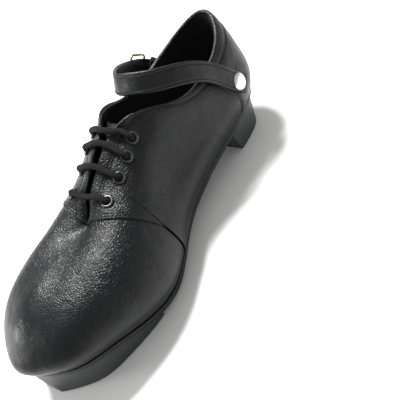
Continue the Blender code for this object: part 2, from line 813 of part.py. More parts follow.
def flat_strip(name, table, width, thickness, count, parts):
    """A leather strip along a line, with its edges slightly rounded."""
    middle, outward, wide = strip_line(table, np.linspace(0, 1, count))
    edge = thickness * EDGE_SHARE
    corners = (
        (width / 2 - edge, thickness / 2),
        (width / 2, thickness / 2 - edge),
        (width / 2, edge - thickness / 2),
        (width / 2 - edge, -thickness / 2),
        (edge - width / 2, -thickness / 2),
        (-width / 2, edge - thickness / 2),
        (-width / 2, thickness / 2 - edge),
        (edge - width / 2, thickness / 2),
    )
    rings = [middle + wide * across + outward * deep for across, deep in corners]
    return loft(name, np.array(rings).transpose(1, 0, 2), parts)


def make_cap(name, radius, frame, parts):
    """A domed metal cap."""
    profile = [(radius * out, CAP_RISE * up) for out, up in CAP_PROFILE]
    cap = turned_solid(name, profile, 16, parts)
    cap.data.transform(frame)
    return cap


def rounded_ring(width, height, corner, steps=4):
    """Points round a rectangle with round corners, in plan."""
    points = []
    for quarter, (sx, sy) in enumerate(((1, 1), (-1, 1), (-1, -1), (1, -1))):
        for step in range(steps + 1):
            angle = math.pi / 2 * (quarter + step / steps)
            x = sx * (width / 2 - corner) + corner * math.cos(angle)
            y = sy * (height / 2 - corner) + corner * math.sin(angle)
            points.append((x, y))
    return np.array(points)


def make_buckle(parts):
    """A wire frame on the strap's outer side, and the prong that lies over its front bar."""
    wide = STRAP_WIDTH + 2 * BUCKLE_SPARE
    lift = STRAP_THICKNESS / 2 + GAP + BUCKLE_WIRE
    place = strip_frame(STRAP_PATH, BUCKLE_AT, lift)
    centre = rounded_ring(BUCKLE_LENGTH, wide + 2 * BUCKLE_WIRE, BUCKLE_CORNER, 3)
    larger = rounded_ring(BUCKLE_LENGTH + 2, wide + 2 * BUCKLE_WIRE + 2, BUCKLE_CORNER + 1, 3)
    outward = larger - centre
    outward /= np.linalg.norm(outward, axis=1)[:, None]
    count = len(centre)
    sides = 6
    points = []
    for middle, away in zip(centre, outward):
        for side in range(sides):
            turn = 2 * math.pi * side / sides
            reach = middle + away * BUCKLE_WIRE * math.cos(turn)
            points.append((*reach, BUCKLE_WIRE * math.sin(turn)))
    faces = []
    for i in range(count):
        k = (i + 1) % count
        for j in range(sides):
            n = (j + 1) % sides
            faces.append((i * sides + j, k * sides + j, k * sides + n, i * sides + n))
    frame = new_object("buckle_frame", closed_mesh("buckle_frame", points, faces), parts)
    frame.data.transform(place)
    over = BUCKLE_WIRE + GAP + PRONG_RADIUS
    low = PRONG_RADIUS - BUCKLE_WIRE + GAP
    bar = BUCKLE_LENGTH / 2
    route = [(bar * out, 0, low + (over - low) * up) for out, up in PRONG_ROUTE]
    prong = tube("buckle_prong", smooth_path(route, 9), PRONG_RADIUS, 1, parts)
    prong.data.transform(place)
    return [frame, prong]


def make_keeper(parts):
    """A leather loop that holds the strap's free end down on the billet."""
    inside = BILLET_THICKNESS + 4 * GAP
    place = strip_frame(STRAP_PATH, KEEPER_AT, -inside / 2)
    wide = STRAP_WIDTH + 2 * KEEPER_SPARE
    deep = STRAP_THICKNESS + inside + 3 * GAP
    rings = []
    for half, depth in ((-0.5, 0), (0.5, 0), (0.5, KEEPER_THICKNESS), (-0.5, KEEPER_THICKNESS)):
        loop = rounded_ring(deep + 2 * depth, wide + 2 * depth, KEEPER_CORNER + depth, 2)
        rings.append([(half * KEEPER_WIDTH, y, x) for x, y in loop])
    rings = np.array(rings)
    count, around = rings.shape[:2]
    faces = []
    for i in range(count):
        following = (i + 1) % count
        for j in range(around):
            k = (j + 1) % around
            faces.append(
                (i * around + j, i * around + k, following * around + k, following * around + j)
            )
    loop = new_object("strap_keeper", closed_mesh("strap_keeper", rings.reshape(-1, 3), faces), parts)
    loop.data.transform(place)
    return loop


def facing_point(side, y, distance, lift):
    """A point at a height over the facing, where it passes a Y at this distance from the slit's edge."""
    turns = np.linspace(turn_of_edge(TONGUE_FROM, side), turn_of_edge(TONGUE_TO, side), 16)
    backs = [upper_points(turn, up_from_edge(turn, distance))[0, 0, 1] for turn in turns]
    turn = float(np.interp(y, backs, turns))
    return on_upper(turn, up_from_edge(turn, distance), lift)[0]


def make_lace(parts):
    """Four bars of the lace, each lying straight over its two eyelets and the facings between them."""
    lift = OVERLAY_STEP + 2 * GAP + EYELET_RISE + LACE_RADIUS
    made = []
    for number, place in enumerate(EYELET_PLACES, 1):
        route = []
        for side, fars in ((-1, (1.0, 0.7, 0.4, 0.1)), (1, (0.1, 0.4, 0.7, 1.0))):
            turn = turn_of_edge(place, side)
            y = on_upper(turn, up_from_edge(turn, EYELET_INSET))[0][1]
            route += [facing_point(side, y, EYELET_INSET * far, lift) for far in fars]
        bar = tube(f"lace_bar_{number}", smooth_path(route, 12), LACE_RADIUS, 2, parts)
        made.append(bar)
    return made


def material(name, colour, roughness, metallic=0.0):
    made = bpy.data.materials.new(name)
    made.use_nodes = True
    shader = made.node_tree.nodes["Principled BSDF"]
    shader.inputs["Base Color"].default_value = (*colour, 1)
    shader.inputs["Roughness"].default_value = roughness
    shader.inputs["Metallic"].default_value = metallic
    return made


def make_strap_set(parts, leather, nickel, brass):
    """The strap, its billet and keeper, the two caps that hold them, and the buckle."""
    strap = flat_strip("strap", STRAP_PATH, STRAP_WIDTH, STRAP_THICKNESS, 40, parts)
    billet = flat_strip("strap_billet", BILLET_PATH, STRAP_WIDTH, BILLET_THICKNESS, 12, parts)
    for item in (strap, billet, make_keeper(parts)):
        item.data.materials.append(leather)
    on_strap = strip_frame(STRAP_PATH, SNAP_AT, STRAP_THICKNESS / 2 + GAP)
    make_cap("strap_snap", SNAP_RADIUS, on_strap, parts).data.materials.append(nickel)
    on_billet = strip_frame(BILLET_PATH, RIVET_AT, BILLET_THICKNESS / 2 + GAP)
    make_cap("billet_rivet", RIVET_RADIUS, on_billet, parts).data.materials.append(nickel)
    for item in make_buckle(parts):
        item.data.materials.append(brass)


def main():
    for item in list(bpy.data.objects):
        bpy.data.objects.remove(item, do_unlink=True)
    parts = bpy.data.collections.new(COLLECTION_NAME)
    cutters = bpy.data.collections.new("cutters")
    for group in (parts, cutters):
        bpy.context.scene.collection.children.link(group)
    leather = material("black_grained_leather", (0.020, 0.021, 0.023), 0.38)
    lining = material("black_lining", (0.012, 0.012, 0.013), 0.80)
    moulded = material("charcoal_moulded_tip", (0.055, 0.060, 0.058), 0.42)
    enamel = material("black_enamel", (0.015, 0.015, 0.016), 0.35, 0.5)
    nickel = material("nickel_cap", (0.72, 0.71, 0.68), 0.25, 1.0)
    brass = material("old_brass", (0.40, 0.33, 0.20), 0.35, 1.0)
    cotton = material("black_lace", (0.018, 0.018, 0.019), 0.75)
    room = above_sole(cutters)
    make_upper(parts, cutters).data.materials.append(leather)
    make_tongue(parts).data.materials.append(leather)
    insole = plate("insole", -WALL - 2 * GAP, GAP + INSOLE_THICKNESS, INSOLE_THICKNESS, parts)
    insole.data.materials.append(lining)
    plate("sole", SOLE_OVERHANG, 0.0, SOLE_THICKNESS, parts).data.materials.append(leather)
    make_tip(room, parts, cutters).data.materials.append(moulded)
    make_heel(room, parts).data.materials.append(moulded)
    for ring in make_eyelets(parts):
        ring.data.materials.append(enamel)
    make_strap_set(parts, leather, nickel, brass)
    for bar in make_lace(parts):
        bar.data.materials.append(cotton)


main()
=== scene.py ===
# %% [markdown]
# # A hard shoe for step dancing
# The real shoe is black grained leather, sewn in three panels over a last, with a
# moulded tip and heel nailed under a thin leather sole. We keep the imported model
# as the frame and lay the leather, seams and trims over it, one piece at a time.

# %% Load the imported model
import math

import bmesh
import bpy
import numpy as np
from mathutils import Matrix, Vector


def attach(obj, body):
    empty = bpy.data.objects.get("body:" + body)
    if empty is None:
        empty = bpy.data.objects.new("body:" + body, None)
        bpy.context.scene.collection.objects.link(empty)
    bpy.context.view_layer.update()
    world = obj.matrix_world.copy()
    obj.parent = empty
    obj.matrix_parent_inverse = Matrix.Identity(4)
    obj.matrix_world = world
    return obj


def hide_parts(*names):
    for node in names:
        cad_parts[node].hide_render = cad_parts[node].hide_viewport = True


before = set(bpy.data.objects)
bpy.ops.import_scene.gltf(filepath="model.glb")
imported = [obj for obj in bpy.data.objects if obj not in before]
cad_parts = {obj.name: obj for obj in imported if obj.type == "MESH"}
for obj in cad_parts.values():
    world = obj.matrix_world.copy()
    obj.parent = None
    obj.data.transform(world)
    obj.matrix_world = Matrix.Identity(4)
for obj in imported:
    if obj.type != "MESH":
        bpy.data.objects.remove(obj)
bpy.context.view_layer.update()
print("nodes:", len(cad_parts))

# %% [markdown]
# ## Sizes of the last
# A last is the wooden or plastic foot that a shoe is built on. Its shape is kept as
# ribs: each runs from the sole's edge up to the edge of the opening. The rows hold
# shares of a few named sizes, all in metres, and a spline turns them into a skin.

# %% The last in numbers
LENGTH = 0.262
BALL_WIDTH = 0.090
COLLAR_WIDTH = 0.052
SLIT_GAP = 0.009
INSTEP_HEIGHT = 0.0916
TOE_SPRING = 0.0195
HEEL_RISE = 0.0287
SWELL = 0.0049
SHOULDER = 0.0146
HEEL_CENTRE_AT = 0.871
WALL = 0.0020
OVERLAY = 0.0009
COUNTER_STEP = 0.0006
SOLE_THICKNESS = 0.0040
TIP_REAR_THICKNESS = 0.0033
GAP = 0.0003

# The sole's line and the ribs follow a least-squares fit to points read from the
# photograph. The fit moved a first set of rows, and they were rounded.
SOLE_LINE = (
    (0.00, 1.00, 0.00),
    (0.08, 0.94, 0.00),
    (0.16, 0.68, 0.00),
    (0.25, 0.27, 0.00),
    (0.34, 0.00, 0.00),
    (0.44, 0.00, 0.07),
    (0.53, 0.00, 0.23),
    (0.62, 0.00, 0.43),
    (0.69, 0.00, 0.57),
    (0.77, 0.00, 0.68),
    (0.86, 0.00, 0.81),
    (0.96, 0.00, 0.93),
    (1.00, 0.00, 1.00),
)
# at, medial, lateral, edge at, slit, collar, edge up, swell, rise, in low, up low, in high, up high
RIBS = (
    (0.015, 0.00, 0.00, 0.350, 0.00, 0.00, 0.61, 0.82, 0.56, 0.065, 0.38, 0.18, 0.81),
    (0.040, 0.21, 0.17, 0.355, 0.13, 0.00, 0.62, 0.88, 0.58, 0.055, 0.39, 0.19, 0.80),
    (0.080, 0.36, 0.31, 0.365, 0.19, 0.00, 0.64, 0.94, 0.60, 0.055, 0.41, 0.22, 0.80),
    (0.160, 0.46, 0.42, 0.380, 0.20, 0.00, 0.68, 0.98, 0.60, 0.060, 0.44, 0.29, 0.80),
    (0.250, 0.52, 0.46, 0.390, 0.21, 0.00, 0.72, 1.00, 0.59, 0.070, 0.45, 0.35, 0.80),
    (0.340, 0.51, 0.49, 0.410, 0.23, 0.00, 0.78, 1.00, 0.59, 0.090, 0.44, 0.41, 0.79),
    (0.440, 0.41, 0.47, 0.445, 0.27, 0.00, 0.84, 0.98, 0.60, 0.125, 0.42, 0.44, 0.79),
    (0.530, 0.33, 0.44, 0.490, 0.36, 0.00, 0.91, 0.84, 0.56, 0.150, 0.38, 0.42, 0.82),
    (0.620, 0.32, 0.41, 0.535, 0.52, 0.00, 0.96, 0.65, 0.56, 0.160, 0.36, 0.42, 0.85),
    (0.690, 0.33, 0.37, 0.585, 0.00, 0.49, 1.00, 0.63, 0.56, 0.180, 0.36, 0.48, 0.83),
    (0.770, 0.35, 0.34, 0.685, 0.00, 0.94, 0.87, 0.61, 0.64, 0.200, 0.36, 0.56, 0.76),
    (0.860, 0.35, 0.32, 0.790, 0.00, 1.01, 0.82, 0.80, 0.85, 0.245, 0.37, 0.57, 0.75),
    (0.955, 0.27, 0.24, 0.920, 0.00, 0.79, 0.88, 0.86, 0.99, 0.145, 0.37, 0.51, 0.77),
    (1.000, 0.00, 0.00, 1.000, 0.00, 0.00, 0.98, 0.96, 1.00, 0.095, 0.41, 0.44, 0.83),
)
VAMP_SEAM = (
    (0.00, 0.345),
    (0.13, 0.350),
    (0.26, 0.365),
    (0.37, 0.395),
    (0.46, 0.440),
    (0.52, 0.490),
    (0.64, 0.560),
)
print("length of the sole, mm:", LENGTH * 1000)

# %% [markdown]
# ## Splines
# A cubic spline is what a bent batten draws: it passes through each chosen point with
# no kink. We solve for its bends once and can then ask for any place along it.

# %% Curves through chosen points
def along(share):
    return (np.asarray(share) - HEEL_CENTRE_AT) * LENGTH


def spline(knots, values, places, closed=False):
    """Points of a cubic spline, natural at its ends or closed on itself."""
    knots = np.asarray(knots, float)
    values = np.asarray(values, float).reshape(len(knots), -1)
    steps = np.diff(knots)
    slopes = np.diff(values, axis=0) / steps[:, None]
    count = len(knots)
    system = np.eye(count)
    right = np.zeros(values.shape)
    for i in range(1, count - 1):
        system[i, i - 1 : i + 2] = steps[i - 1], 2 * (steps[i - 1] + steps[i]), steps[i]
        right[i] = 6 * (slopes[i] - slopes[i - 1])
    if closed:
        system[0, 0] = 2 * (steps[-1] + steps[0])
        system[0, 1] = steps[0]
        system[0, -2] = steps[-1]
        right[0] = 6 * (slopes[0] - slopes[-1])
        system[-1, 0] = -1
    second = np.linalg.solve(system, right)
    places = np.atleast_1d(places)
    if closed:
        places = places % knots[-1]
    piece = np.clip(np.searchsorted(knots, places, side="right") - 1, 0, count - 2)
    step = steps[piece][:, None]
    far = (places - knots[piece])[:, None] / step
    near = 1 - far
    bend = (near**3 - near) * second[piece] + (far**3 - far) * second[piece + 1]
    return near * values[piece] + far * values[piece + 1] + bend * step**2 / 6


def chord_knots(points):
    lengths = np.linalg.norm(np.diff(points, axis=0), axis=1)
    return np.concatenate([[0], np.cumsum(lengths)]) / lengths.sum()


def smooth_path(points, count):
    points = np.asarray(points, float)
    return spline(chord_knots(points), points, np.linspace(0, 1, count))


def sole_top(y):
    """Height of the sole's upper face at each Y."""
    line = np.array(SOLE_LINE)
    knots = along(line[:, 0])
    lift = TOE_SPRING * line[:, 1] + HEEL_RISE * line[:, 2]
    inside = np.clip(np.atleast_1d(y), knots[0], knots[-1])
    return TIP_REAR_THICKNESS + GAP + SOLE_THICKNESS + spline(knots, lift, inside)[:, 0]


print("sole's top under the ball, mm:", round(float(sole_top(along(0.36))[0]) * 1000, 2))

# %% [markdown]
# ## The skin of the last
# Turn says how far round the shoe a point is: 0 at the toe, 0.5 at the heel, and the
# medial (big-toe) side first. Up says how far it is from the sole's edge to the
# opening. Two numbers find every point of the leather, which is how a pattern cutter
# can draw a seam on a flat sheet and know where it lands on the foot.

# %% Points and normals on the skin
def rib_points():
    count = len(RIBS)
    order = [(i, 1) for i in range(count)] + [(i, -1) for i in range(count - 2, 0, -1)]
    foot = []
    edge = []
    for i, side in order:
        at, medial, lateral, edge_at, slit, collar, edge_up = RIBS[i][:7]
        width = medial if side > 0 else lateral
        y = float(along(at))
        foot.append((side * width * BALL_WIDTH, y, sole_top(y)[0] + GAP))
        opening = slit * SLIT_GAP + collar * COLLAR_WIDTH / 2
        edge.append((side * opening, float(along(edge_at)), edge_up * INSTEP_HEIGHT))
    foot = np.array(foot)
    edge = np.array(edge)
    way = (np.roll(foot, -1, axis=0) - np.roll(foot, 1, axis=0))[:, :2]
    way /= np.linalg.norm(way, axis=1)[:, None]
    ribs = []
    for k, (i, _) in enumerate(order):
        swell_by, rise, in_low, up_low, in_high, up_high = RIBS[i][7:]
        out = np.array((way[k, 1], -way[k, 0], 0)) * swell_by * SWELL
        swell = foot[k] + out + (0, 0, rise * SHOULDER)
        span = edge[k] - swell
        low = swell + span * (in_low, in_low, up_low)
        high = swell + span * (in_high, in_high, up_high)
        ribs.append((foot[k], swell, low, high, edge[k]))
    return np.array(ribs + ribs[:1])


LAST_RIBS = rib_points()
RIB_STEPS = np.linalg.norm(np.diff(LAST_RIBS, axis=0), axis=2).mean(axis=1)
RIB_KNOTS = np.concatenate([[0], np.cumsum(RIB_STEPS)]) / RIB_STEPS.sum()


def up_the_ribs(ribs, ups):
    """One point on each rib, at its own share of the way up."""
    steps = np.linalg.norm(np.diff(ribs, axis=1), axis=2)
    steps /= steps.sum(axis=1)[:, None]
    knots = np.concatenate([np.zeros((len(ribs), 1)), np.cumsum(steps, axis=1)], axis=1)
    slopes = np.diff(ribs, axis=1) / steps[:, :, None]
    system = np.zeros((len(ribs), 5, 5))
    right = np.zeros(ribs.shape)
    system[:, 0, 0] = system[:, 4, 4] = 1
    for i in (1, 2, 3):
        system[:, i, i - 1] = steps[:, i - 1]
        system[:, i, i] = 2 * (steps[:, i - 1] + steps[:, i])
        system[:, i, i + 1] = steps[:, i]
        right[:, i] = 6 * (slopes[:, i] - slopes[:, i - 1])
    second = np.linalg.solve(system, right)
    piece = (ups[:, None] >= knots[:, 1:4]).sum(axis=1)
    row = np.arange(len(ribs))
    step = steps[row, piece][:, None]
    far = (ups - knots[row, piece])[:, None] / step
    near = 1 - far
    bend = (near**3 - near) * second[row, piece] + (far**3 - far) * second[row, piece + 1]
    return near * ribs[row, piece] + far * ribs[row, piece + 1] + bend * step**2 / 6


def on_last(turn, up):
    turn, up = np.broadcast_arrays(np.asarray(turn, float), np.asarray(up, float))
    flat = LAST_RIBS.reshape(len(LAST_RIBS), -1)
    ribs = spline(RIB_KNOTS, flat, turn.ravel(), closed=True).reshape(-1, 5, 3)
    return up_the_ribs(ribs, up.ravel()).reshape(*turn.shape, 3)


def normals_on_last(turn, up):
    small = 1e-4
    across = on_last(turn + small, up) - on_last(turn - small, up)
    upward = on_last(turn, np.clip(up + small, 0, 1)) - on_last(turn, np.clip(up - small, 0, 1))
    normal = np.cross(across, upward)
    return normal / np.linalg.norm(normal, axis=-1)[..., None]


RULER = np.linspace(0, 1, 241)


def rib_rulers(turns):
    """Lengths along each rib, from the sole's edge, at the ruler's shares of the way up."""
    ribs = on_last(np.asarray(turns)[:, None], RULER[None, :])
    steps = np.linalg.norm(np.diff(ribs, axis=1), axis=2)
    return np.concatenate([np.zeros((len(ribs), 1)), np.cumsum(steps, axis=1)], axis=1), ribs


SEAM_CURVE = smooth_path([(out * BALL_WIDTH, along(at)) for out, at in VAMP_SEAM], 60)


def seam_ups(turns):
    """Where each rib passes under the front edge of the quarters: 0 where it starts behind it."""
    _, ribs = rib_rulers(turns)
    seam_y = np.interp(np.abs(ribs[..., 0]), SEAM_CURVE[:, 0], SEAM_CURVE[:, 1])
    behind = ribs[..., 1] - seam_y
    found = []
    for row in behind:
        after = int(np.argmax(row > 0))
        if after == 0:
            found.append(0.0 if row[0] > 0 else 1.0)
            continue
        part = row[after - 1] / (row[after - 1] - row[after])
        found.append(RULER[after - 1] + part * (RULER[after] - RULER[after - 1]))
    return np.array(found)


def last_turn_of_seam(side):
    """The turn at which the seam comes down to the sole, counted from the toe."""
    turns = np.linspace(0.02, 0.40, 800)
    ups = seam_ups(turns if side > 0 else 1 - turns)
    return float(turns[np.argmax(ups <= 0)])


SEAM_END = {1: last_turn_of_seam(1), -1: last_turn_of_seam(-1)}
print("the seam meets the sole at turns", SEAM_END)

# %% [markdown]
# ## Colours and materials
# Each material starts from what the real one is. Colours are given as sRGB hex, as a
# colour picker shows them, and are turned to the linear numbers that Blender works
# in. One small helper adds a node with its settings and links.

# %% Colour and node helpers
def linear(code, alpha=1.0):
    """sRGB hex to linear."""
    parts = [int(code[i : i + 2], 16) / 255 for i in (1, 3, 5)]
    return (*(c / 12.92 if c <= 0.04045 else ((c + 0.055) / 1.055) ** 2.4 for c in parts), alpha)


def add(tree, kind, values=(), links=(), **settings):
    """Adds a node, sets it up, fills its inputs and links others into it."""
    made = tree.nodes.new(kind)
    for name, value in settings.items():
        setattr(made, name, value)
    for socket, value in dict(values).items():
        made.inputs[socket].default_value = value
    for socket, source in dict(links).items():
        tree.links.new(source, made.inputs[socket])
    return made


def new_material(name, colour, roughness, **sockets):
    """A Principled material and its tree, with what is the same all over set on the shader."""
    made = bpy.data.materials.new(name)
    made.use_nodes = True
    shader = made.node_tree.nodes["Principled BSDF"]
    shader.inputs["Base Color"].default_value = linear(colour)
    shader.inputs["Roughness"].default_value = roughness
    for socket, value in sockets.items():
        shader.inputs[socket.replace("_", " ")].default_value = value
    return made, made.node_tree, shader


# %% [markdown]
# ### Grained leather
# Cowhide is pressed with a pebble pattern, dyed black and finished with a clear
# acrylic top coat, so it is black with a soft wet gloss broken up by the grain. The
# pebbles are about 1.4 mm across and flatten where the leather is pulled hard over
# the toe, so a painted attribute fades the grain there. A coarser noise gives the
# slight waviness of real hide.

# %% Leather
PEBBLE = 0.0014
POCK = 0.0006
WAVE = 0.011
WAVE_DEPTH = 0.0007


def grained_leather(name, colour, roughness, depth, grain=None):
    made, tree, shader = new_material(name, colour, roughness, Coat_Weight=0.06, Coat_Roughness=0.22)
    shader.inputs["Specular IOR Level"].default_value = 0.24
    place = add(tree, "ShaderNodeTexCoord").outputs["Object"]
    wander = add(tree, "ShaderNodeTexNoise", {"Scale": 1 / (2 * PEBBLE), "Detail": 2.0}, {"Vector": place})
    push = add(
        tree,
        "ShaderNodeVectorMath",
        {"Scale": PEBBLE * 0.9},
        {0: wander.outputs["Color"]},
        operation="SCALE",
    )
    moved = add(tree, "ShaderNodeVectorMath", (), {0: place, 1: push.outputs[0]}, operation="ADD").outputs[0]
    cells = add(
        tree,
        "ShaderNodeTexVoronoi",
        {"Scale": 1 / PEBBLE, "Randomness": 1.0},
        {"Vector": moved},
        feature="DISTANCE_TO_EDGE",
    )
    domes = add(
        tree,
        "ShaderNodeMapRange",
        {"From Min": 0.0, "From Max": 0.32, "To Min": 0.0, "To Max": 1.0},
        {"Value": cells.outputs["Distance"]},
        interpolation_type="SMOOTHSTEP",
    )
    pocks = add(tree, "ShaderNodeTexNoise", {"Scale": 1 / POCK, "Detail": 2.0}, {"Vector": place})
    height = add(
        tree,
        "ShaderNodeMath",
        {1: 0.12},
        {0: pocks.outputs["Fac"], 2: domes.outputs["Result"]},
        operation="MULTIPLY_ADD",
    )
    if grain:
        mask = add(tree, "ShaderNodeAttribute", attribute_name=grain).outputs["Fac"]
        scaled = add(tree, "ShaderNodeMath", {}, {0: height.outputs[0], 1: mask}, operation="MULTIPLY")
    else:
        scaled = height
    waves = add(tree, "ShaderNodeTexNoise", {"Scale": 1 / WAVE, "Detail": 1.5}, {"Vector": place})
    wavy = {"Strength": 1.0, "Distance": WAVE_DEPTH}
    broad = add(tree, "ShaderNodeBump", wavy, {"Height": waves.outputs["Fac"]})
    fine = add(
        tree,
        "ShaderNodeBump",
        {"Strength": 1.0, "Distance": depth},
        {"Height": scaled.outputs[0], "Normal": broad.outputs["Normal"]},
    )
    sheen = add(
        tree,
        "ShaderNodeMapRange",
        {"To Min": roughness - 0.05, "To Max": roughness + 0.08},
        {"Value": waves.outputs["Fac"]},
    )
    tree.links.new(fine.outputs["Normal"], shader.inputs["Normal"])
    tree.links.new(fine.outputs["Normal"], shader.inputs["Coat Normal"])
    tree.links.new(sheen.outputs["Result"], shader.inputs["Roughness"])
    return made


black_grained_cowhide = grained_leather("black_grained_cowhide", "#060709", 0.38, 0.00013, "grain")
black_strap_leather = grained_leather("black_strap_leather", "#090a0b", 0.38, 0.00010)
black_sole_leather = grained_leather("black_sole_leather", "#0e0f10", 0.48, 0.00006)

# %% [markdown]
# ### Lining, lace and thread
# The lining is a thin black fabric, and the lace and the sewing thread are spun
# cotton and polyester: all scatter light softly with a little sheen and no gloss. The
# lace is braided, and its braid follows its length, so it reads the lace's own UV map.

# %% Fabric and thread
def lining_fabric():
    made, tree, shader = new_material("black_lining_fabric", "#060607", 0.9, Sheen_Weight=0.03)
    place = add(tree, "ShaderNodeTexCoord").outputs["Object"]
    nap = add(tree, "ShaderNodeTexNoise", {"Scale": 1 / 0.0008, "Detail": 3.0}, {"Vector": place})
    bump = add(tree, "ShaderNodeBump", {"Strength": 0.6, "Distance": 0.0002}, {"Height": nap.outputs["Fac"]})
    tree.links.new(bump.outputs["Normal"], shader.inputs["Normal"])
    return made


def braided_cotton():
    made, tree, shader = new_material("black_braided_cotton", "#050505", 0.8, Specular_IOR_Level=0.25)
    place = add(tree, "ShaderNodeTexCoord").outputs["UV"]
    strands = []
    for angle in (0.62, -0.62):
        turned = add(tree, "ShaderNodeMapping", {"Rotation": (0, 0, angle)}, {"Vector": place})
        strand = {"Scale": 3.2, "Distortion": 0.4}
        wave = add(tree, "ShaderNodeTexWave", strand, {"Vector": turned.outputs[0]})
        strands.append(wave.outputs["Fac"])
    both = add(tree, "ShaderNodeMath", {}, {0: strands[0], 1: strands[1]}, operation="MAXIMUM")
    bump = add(tree, "ShaderNodeBump", {"Strength": 0.9, "Distance": 0.00035}, {"Height": both.outputs[0]})
    tree.links.new(bump.outputs["Normal"], shader.inputs["Normal"])
    return made


black_lining_fabric = lining_fabric()
black_braided_cotton = braided_cotton()
black_bonded_thread = new_material("black_bonded_thread", "#0a0b0c", 0.55, Sheen_Weight=0.05)[0]

# %% [markdown]
# ### Moulded tip, metal trims
# The tip and heel are moulded from a tough filled resin, charcoal and satin, with a
# faint mottle where the filler shows. The cap is nickel-plated steel, the buckle is
# plated in a dull brass tone, and the eyelets are steel rings sprayed black.

# %% Resin and metal
def moulded_resin():
    made, tree, shader = new_material("charcoal_moulded_resin", "#2c302f", 0.46, Specular_IOR_Level=0.35)
    place = add(tree, "ShaderNodeTexCoord").outputs["Object"]
    mottle = add(tree, "ShaderNodeTexNoise", {"Scale": 1 / 0.006, "Detail": 4.0}, {"Vector": place})
    tone = add(
        tree,
        "ShaderNodeMix",
        {"A": linear("#262a29"), "B": linear("#353a38")},
        {"Factor": mottle.outputs["Fac"]},
        data_type="RGBA",
    )
    satin = {"To Min": 0.38, "To Max": 0.56}
    rough = add(tree, "ShaderNodeMapRange", satin, {"Value": mottle.outputs["Fac"]})
    grit = add(tree, "ShaderNodeTexNoise", {"Scale": 1 / 0.0009, "Detail": 3.0}, {"Vector": place})
    shallow = {"Strength": 0.35, "Distance": 0.0001}
    bump = add(tree, "ShaderNodeBump", shallow, {"Height": grit.outputs["Fac"]})
    tree.links.new(tone.outputs["Result"], shader.inputs["Base Color"])
    tree.links.new(rough.outputs["Result"], shader.inputs["Roughness"])
    tree.links.new(bump.outputs["Normal"], shader.inputs["Normal"])
    return made


def plated_metal(name, colour, low, high):
    """Plating whose gloss varies a little, as handled metal does."""
    made, tree, shader = new_material(name, colour, low, Metallic=1.0)
    place = add(tree, "ShaderNodeTexCoord").outputs["Object"]
    haze = add(tree, "ShaderNodeTexNoise", {"Scale": 1 / 0.003, "Detail": 3.0}, {"Vector": place})
    rough = add(tree, "ShaderNodeMapRange", {"To Min": low, "To Max": high}, {"Value": haze.outputs["Fac"]})
    tree.links.new(rough.outputs["Result"], shader.inputs["Roughness"])
    return made


charcoal_moulded_resin = moulded_resin()
bright_nickel_plate = plated_metal("bright_nickel_plate", "#dedcd4", 0.22, 0.36)
dull_brass_plate = plated_metal("dull_brass_plate", "#a8946a", 0.28, 0.45)
black_sprayed_steel = new_material(
    "black_sprayed_steel", "#1a1b1c", 0.34, Coat_Weight=0.4, Coat_Roughness=0.2
)[0]
print("materials:", len(bpy.data.materials))

# %% [markdown]
# ## Laying a sheet
# Flat leather is cut to a pattern and pulled over the last. Here a grid primitive is
# the flat sheet, and its points are moved to their places on the skin: no modelling
# tool pulls a sheet over a form given by numbers, so this one step is done in code.

# %% Helpers that lay sheets and close pieces
def deselect():
    bpy.ops.object.select_all(action="DESELECT")


def laid_grid(name, points):
    """A grid primitive whose points go to a table of places, rows upwards."""
    deselect()
    rows, across = points.shape[:2]
    bpy.ops.mesh.primitive_grid_add(x_subdivisions=across - 1, y_subdivisions=rows - 1, size=1)
    piece = bpy.context.object
    piece.name = piece.data.name = name
    piece.data.vertices.foreach_set("co", np.ascontiguousarray(points, np.float32).ravel())
    piece.data.update()
    return piece


def tidy_mesh(piece, merge=1e-6, recalculate=True, fill=False):
    """Merges doubles, drops faces with no area, and turns a closed piece's faces outwards."""
    work = bmesh.new()
    work.from_mesh(piece.data)
    bmesh.ops.remove_doubles(work, verts=work.verts, dist=merge)
    bmesh.ops.dissolve_degenerate(work, edges=work.edges, dist=1e-7)
    if fill:
        bmesh.ops.holes_fill(work, edges=work.edges, sides=0)
    if recalculate:
        bmesh.ops.recalc_face_normals(work, faces=work.faces)
    work.to_mesh(piece.data)
    work.free()


def finish_piece(piece, material, angle=40):
    """Gives a piece its material, smooth shading and its place on the shoe."""
    deselect()
    piece.select_set(True)
    bpy.context.view_layer.objects.active = piece
    bpy.ops.object.shade_smooth_by_angle(angle=math.radians(angle))
    piece.data.materials.clear()
    piece.data.materials.append(material)
    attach(piece, "root")
    print(piece.name, "faces:", len(piece.data.polygons))
    return piece


def set_grain(piece, values):
    """Paints how deep the grain is at each point."""
    layer = piece.data.attributes.new("grain", "FLOAT", "POINT")
    layer.data.foreach_set("value", np.ascontiguousarray(values, np.float32).ravel())


# %% [markdown]
# ## Creases
# Leather that has been lasted, boxed and handled has soft folds where it was pushed:
# across the vamp in front of the laces and on the quarters under the ankle. Each is
# given as a trough or a ridge along a short line, in millimetres.

# %% Listed creases
# from, to, width, depth: all in millimetres, a negative depth is a trough
CREASES = (
    ((-34, -158, 40), (-6, -150, 60), 3.6, -0.45),
    ((-28, -167, 38), (4, -158, 58), 4.2, -0.40),
    ((6, -152, 60), (34, -160, 40), 3.8, -0.40),
    ((12, -172, 52), (38, -184, 34), 5.0, -0.30),
    ((33, -62, 50), (37, -30, 44), 5.5, -0.60),
    ((30, -74, 58), (35, -48, 54), 5.0, 0.35),
    ((34, -46, 34), (36, -8, 36), 5.0, -0.40),
    ((-36, -66, 52), (-34, -30, 46), 5.5, -0.55),
    ((-40, -80, 42), (-38, -44, 34), 5.0, -0.40),
    ((20, -112, 60), (31, -96, 44), 4.0, -0.35),
    ((-24, -116, 60), (-38, -98, 42), 4.0, -0.35),
)


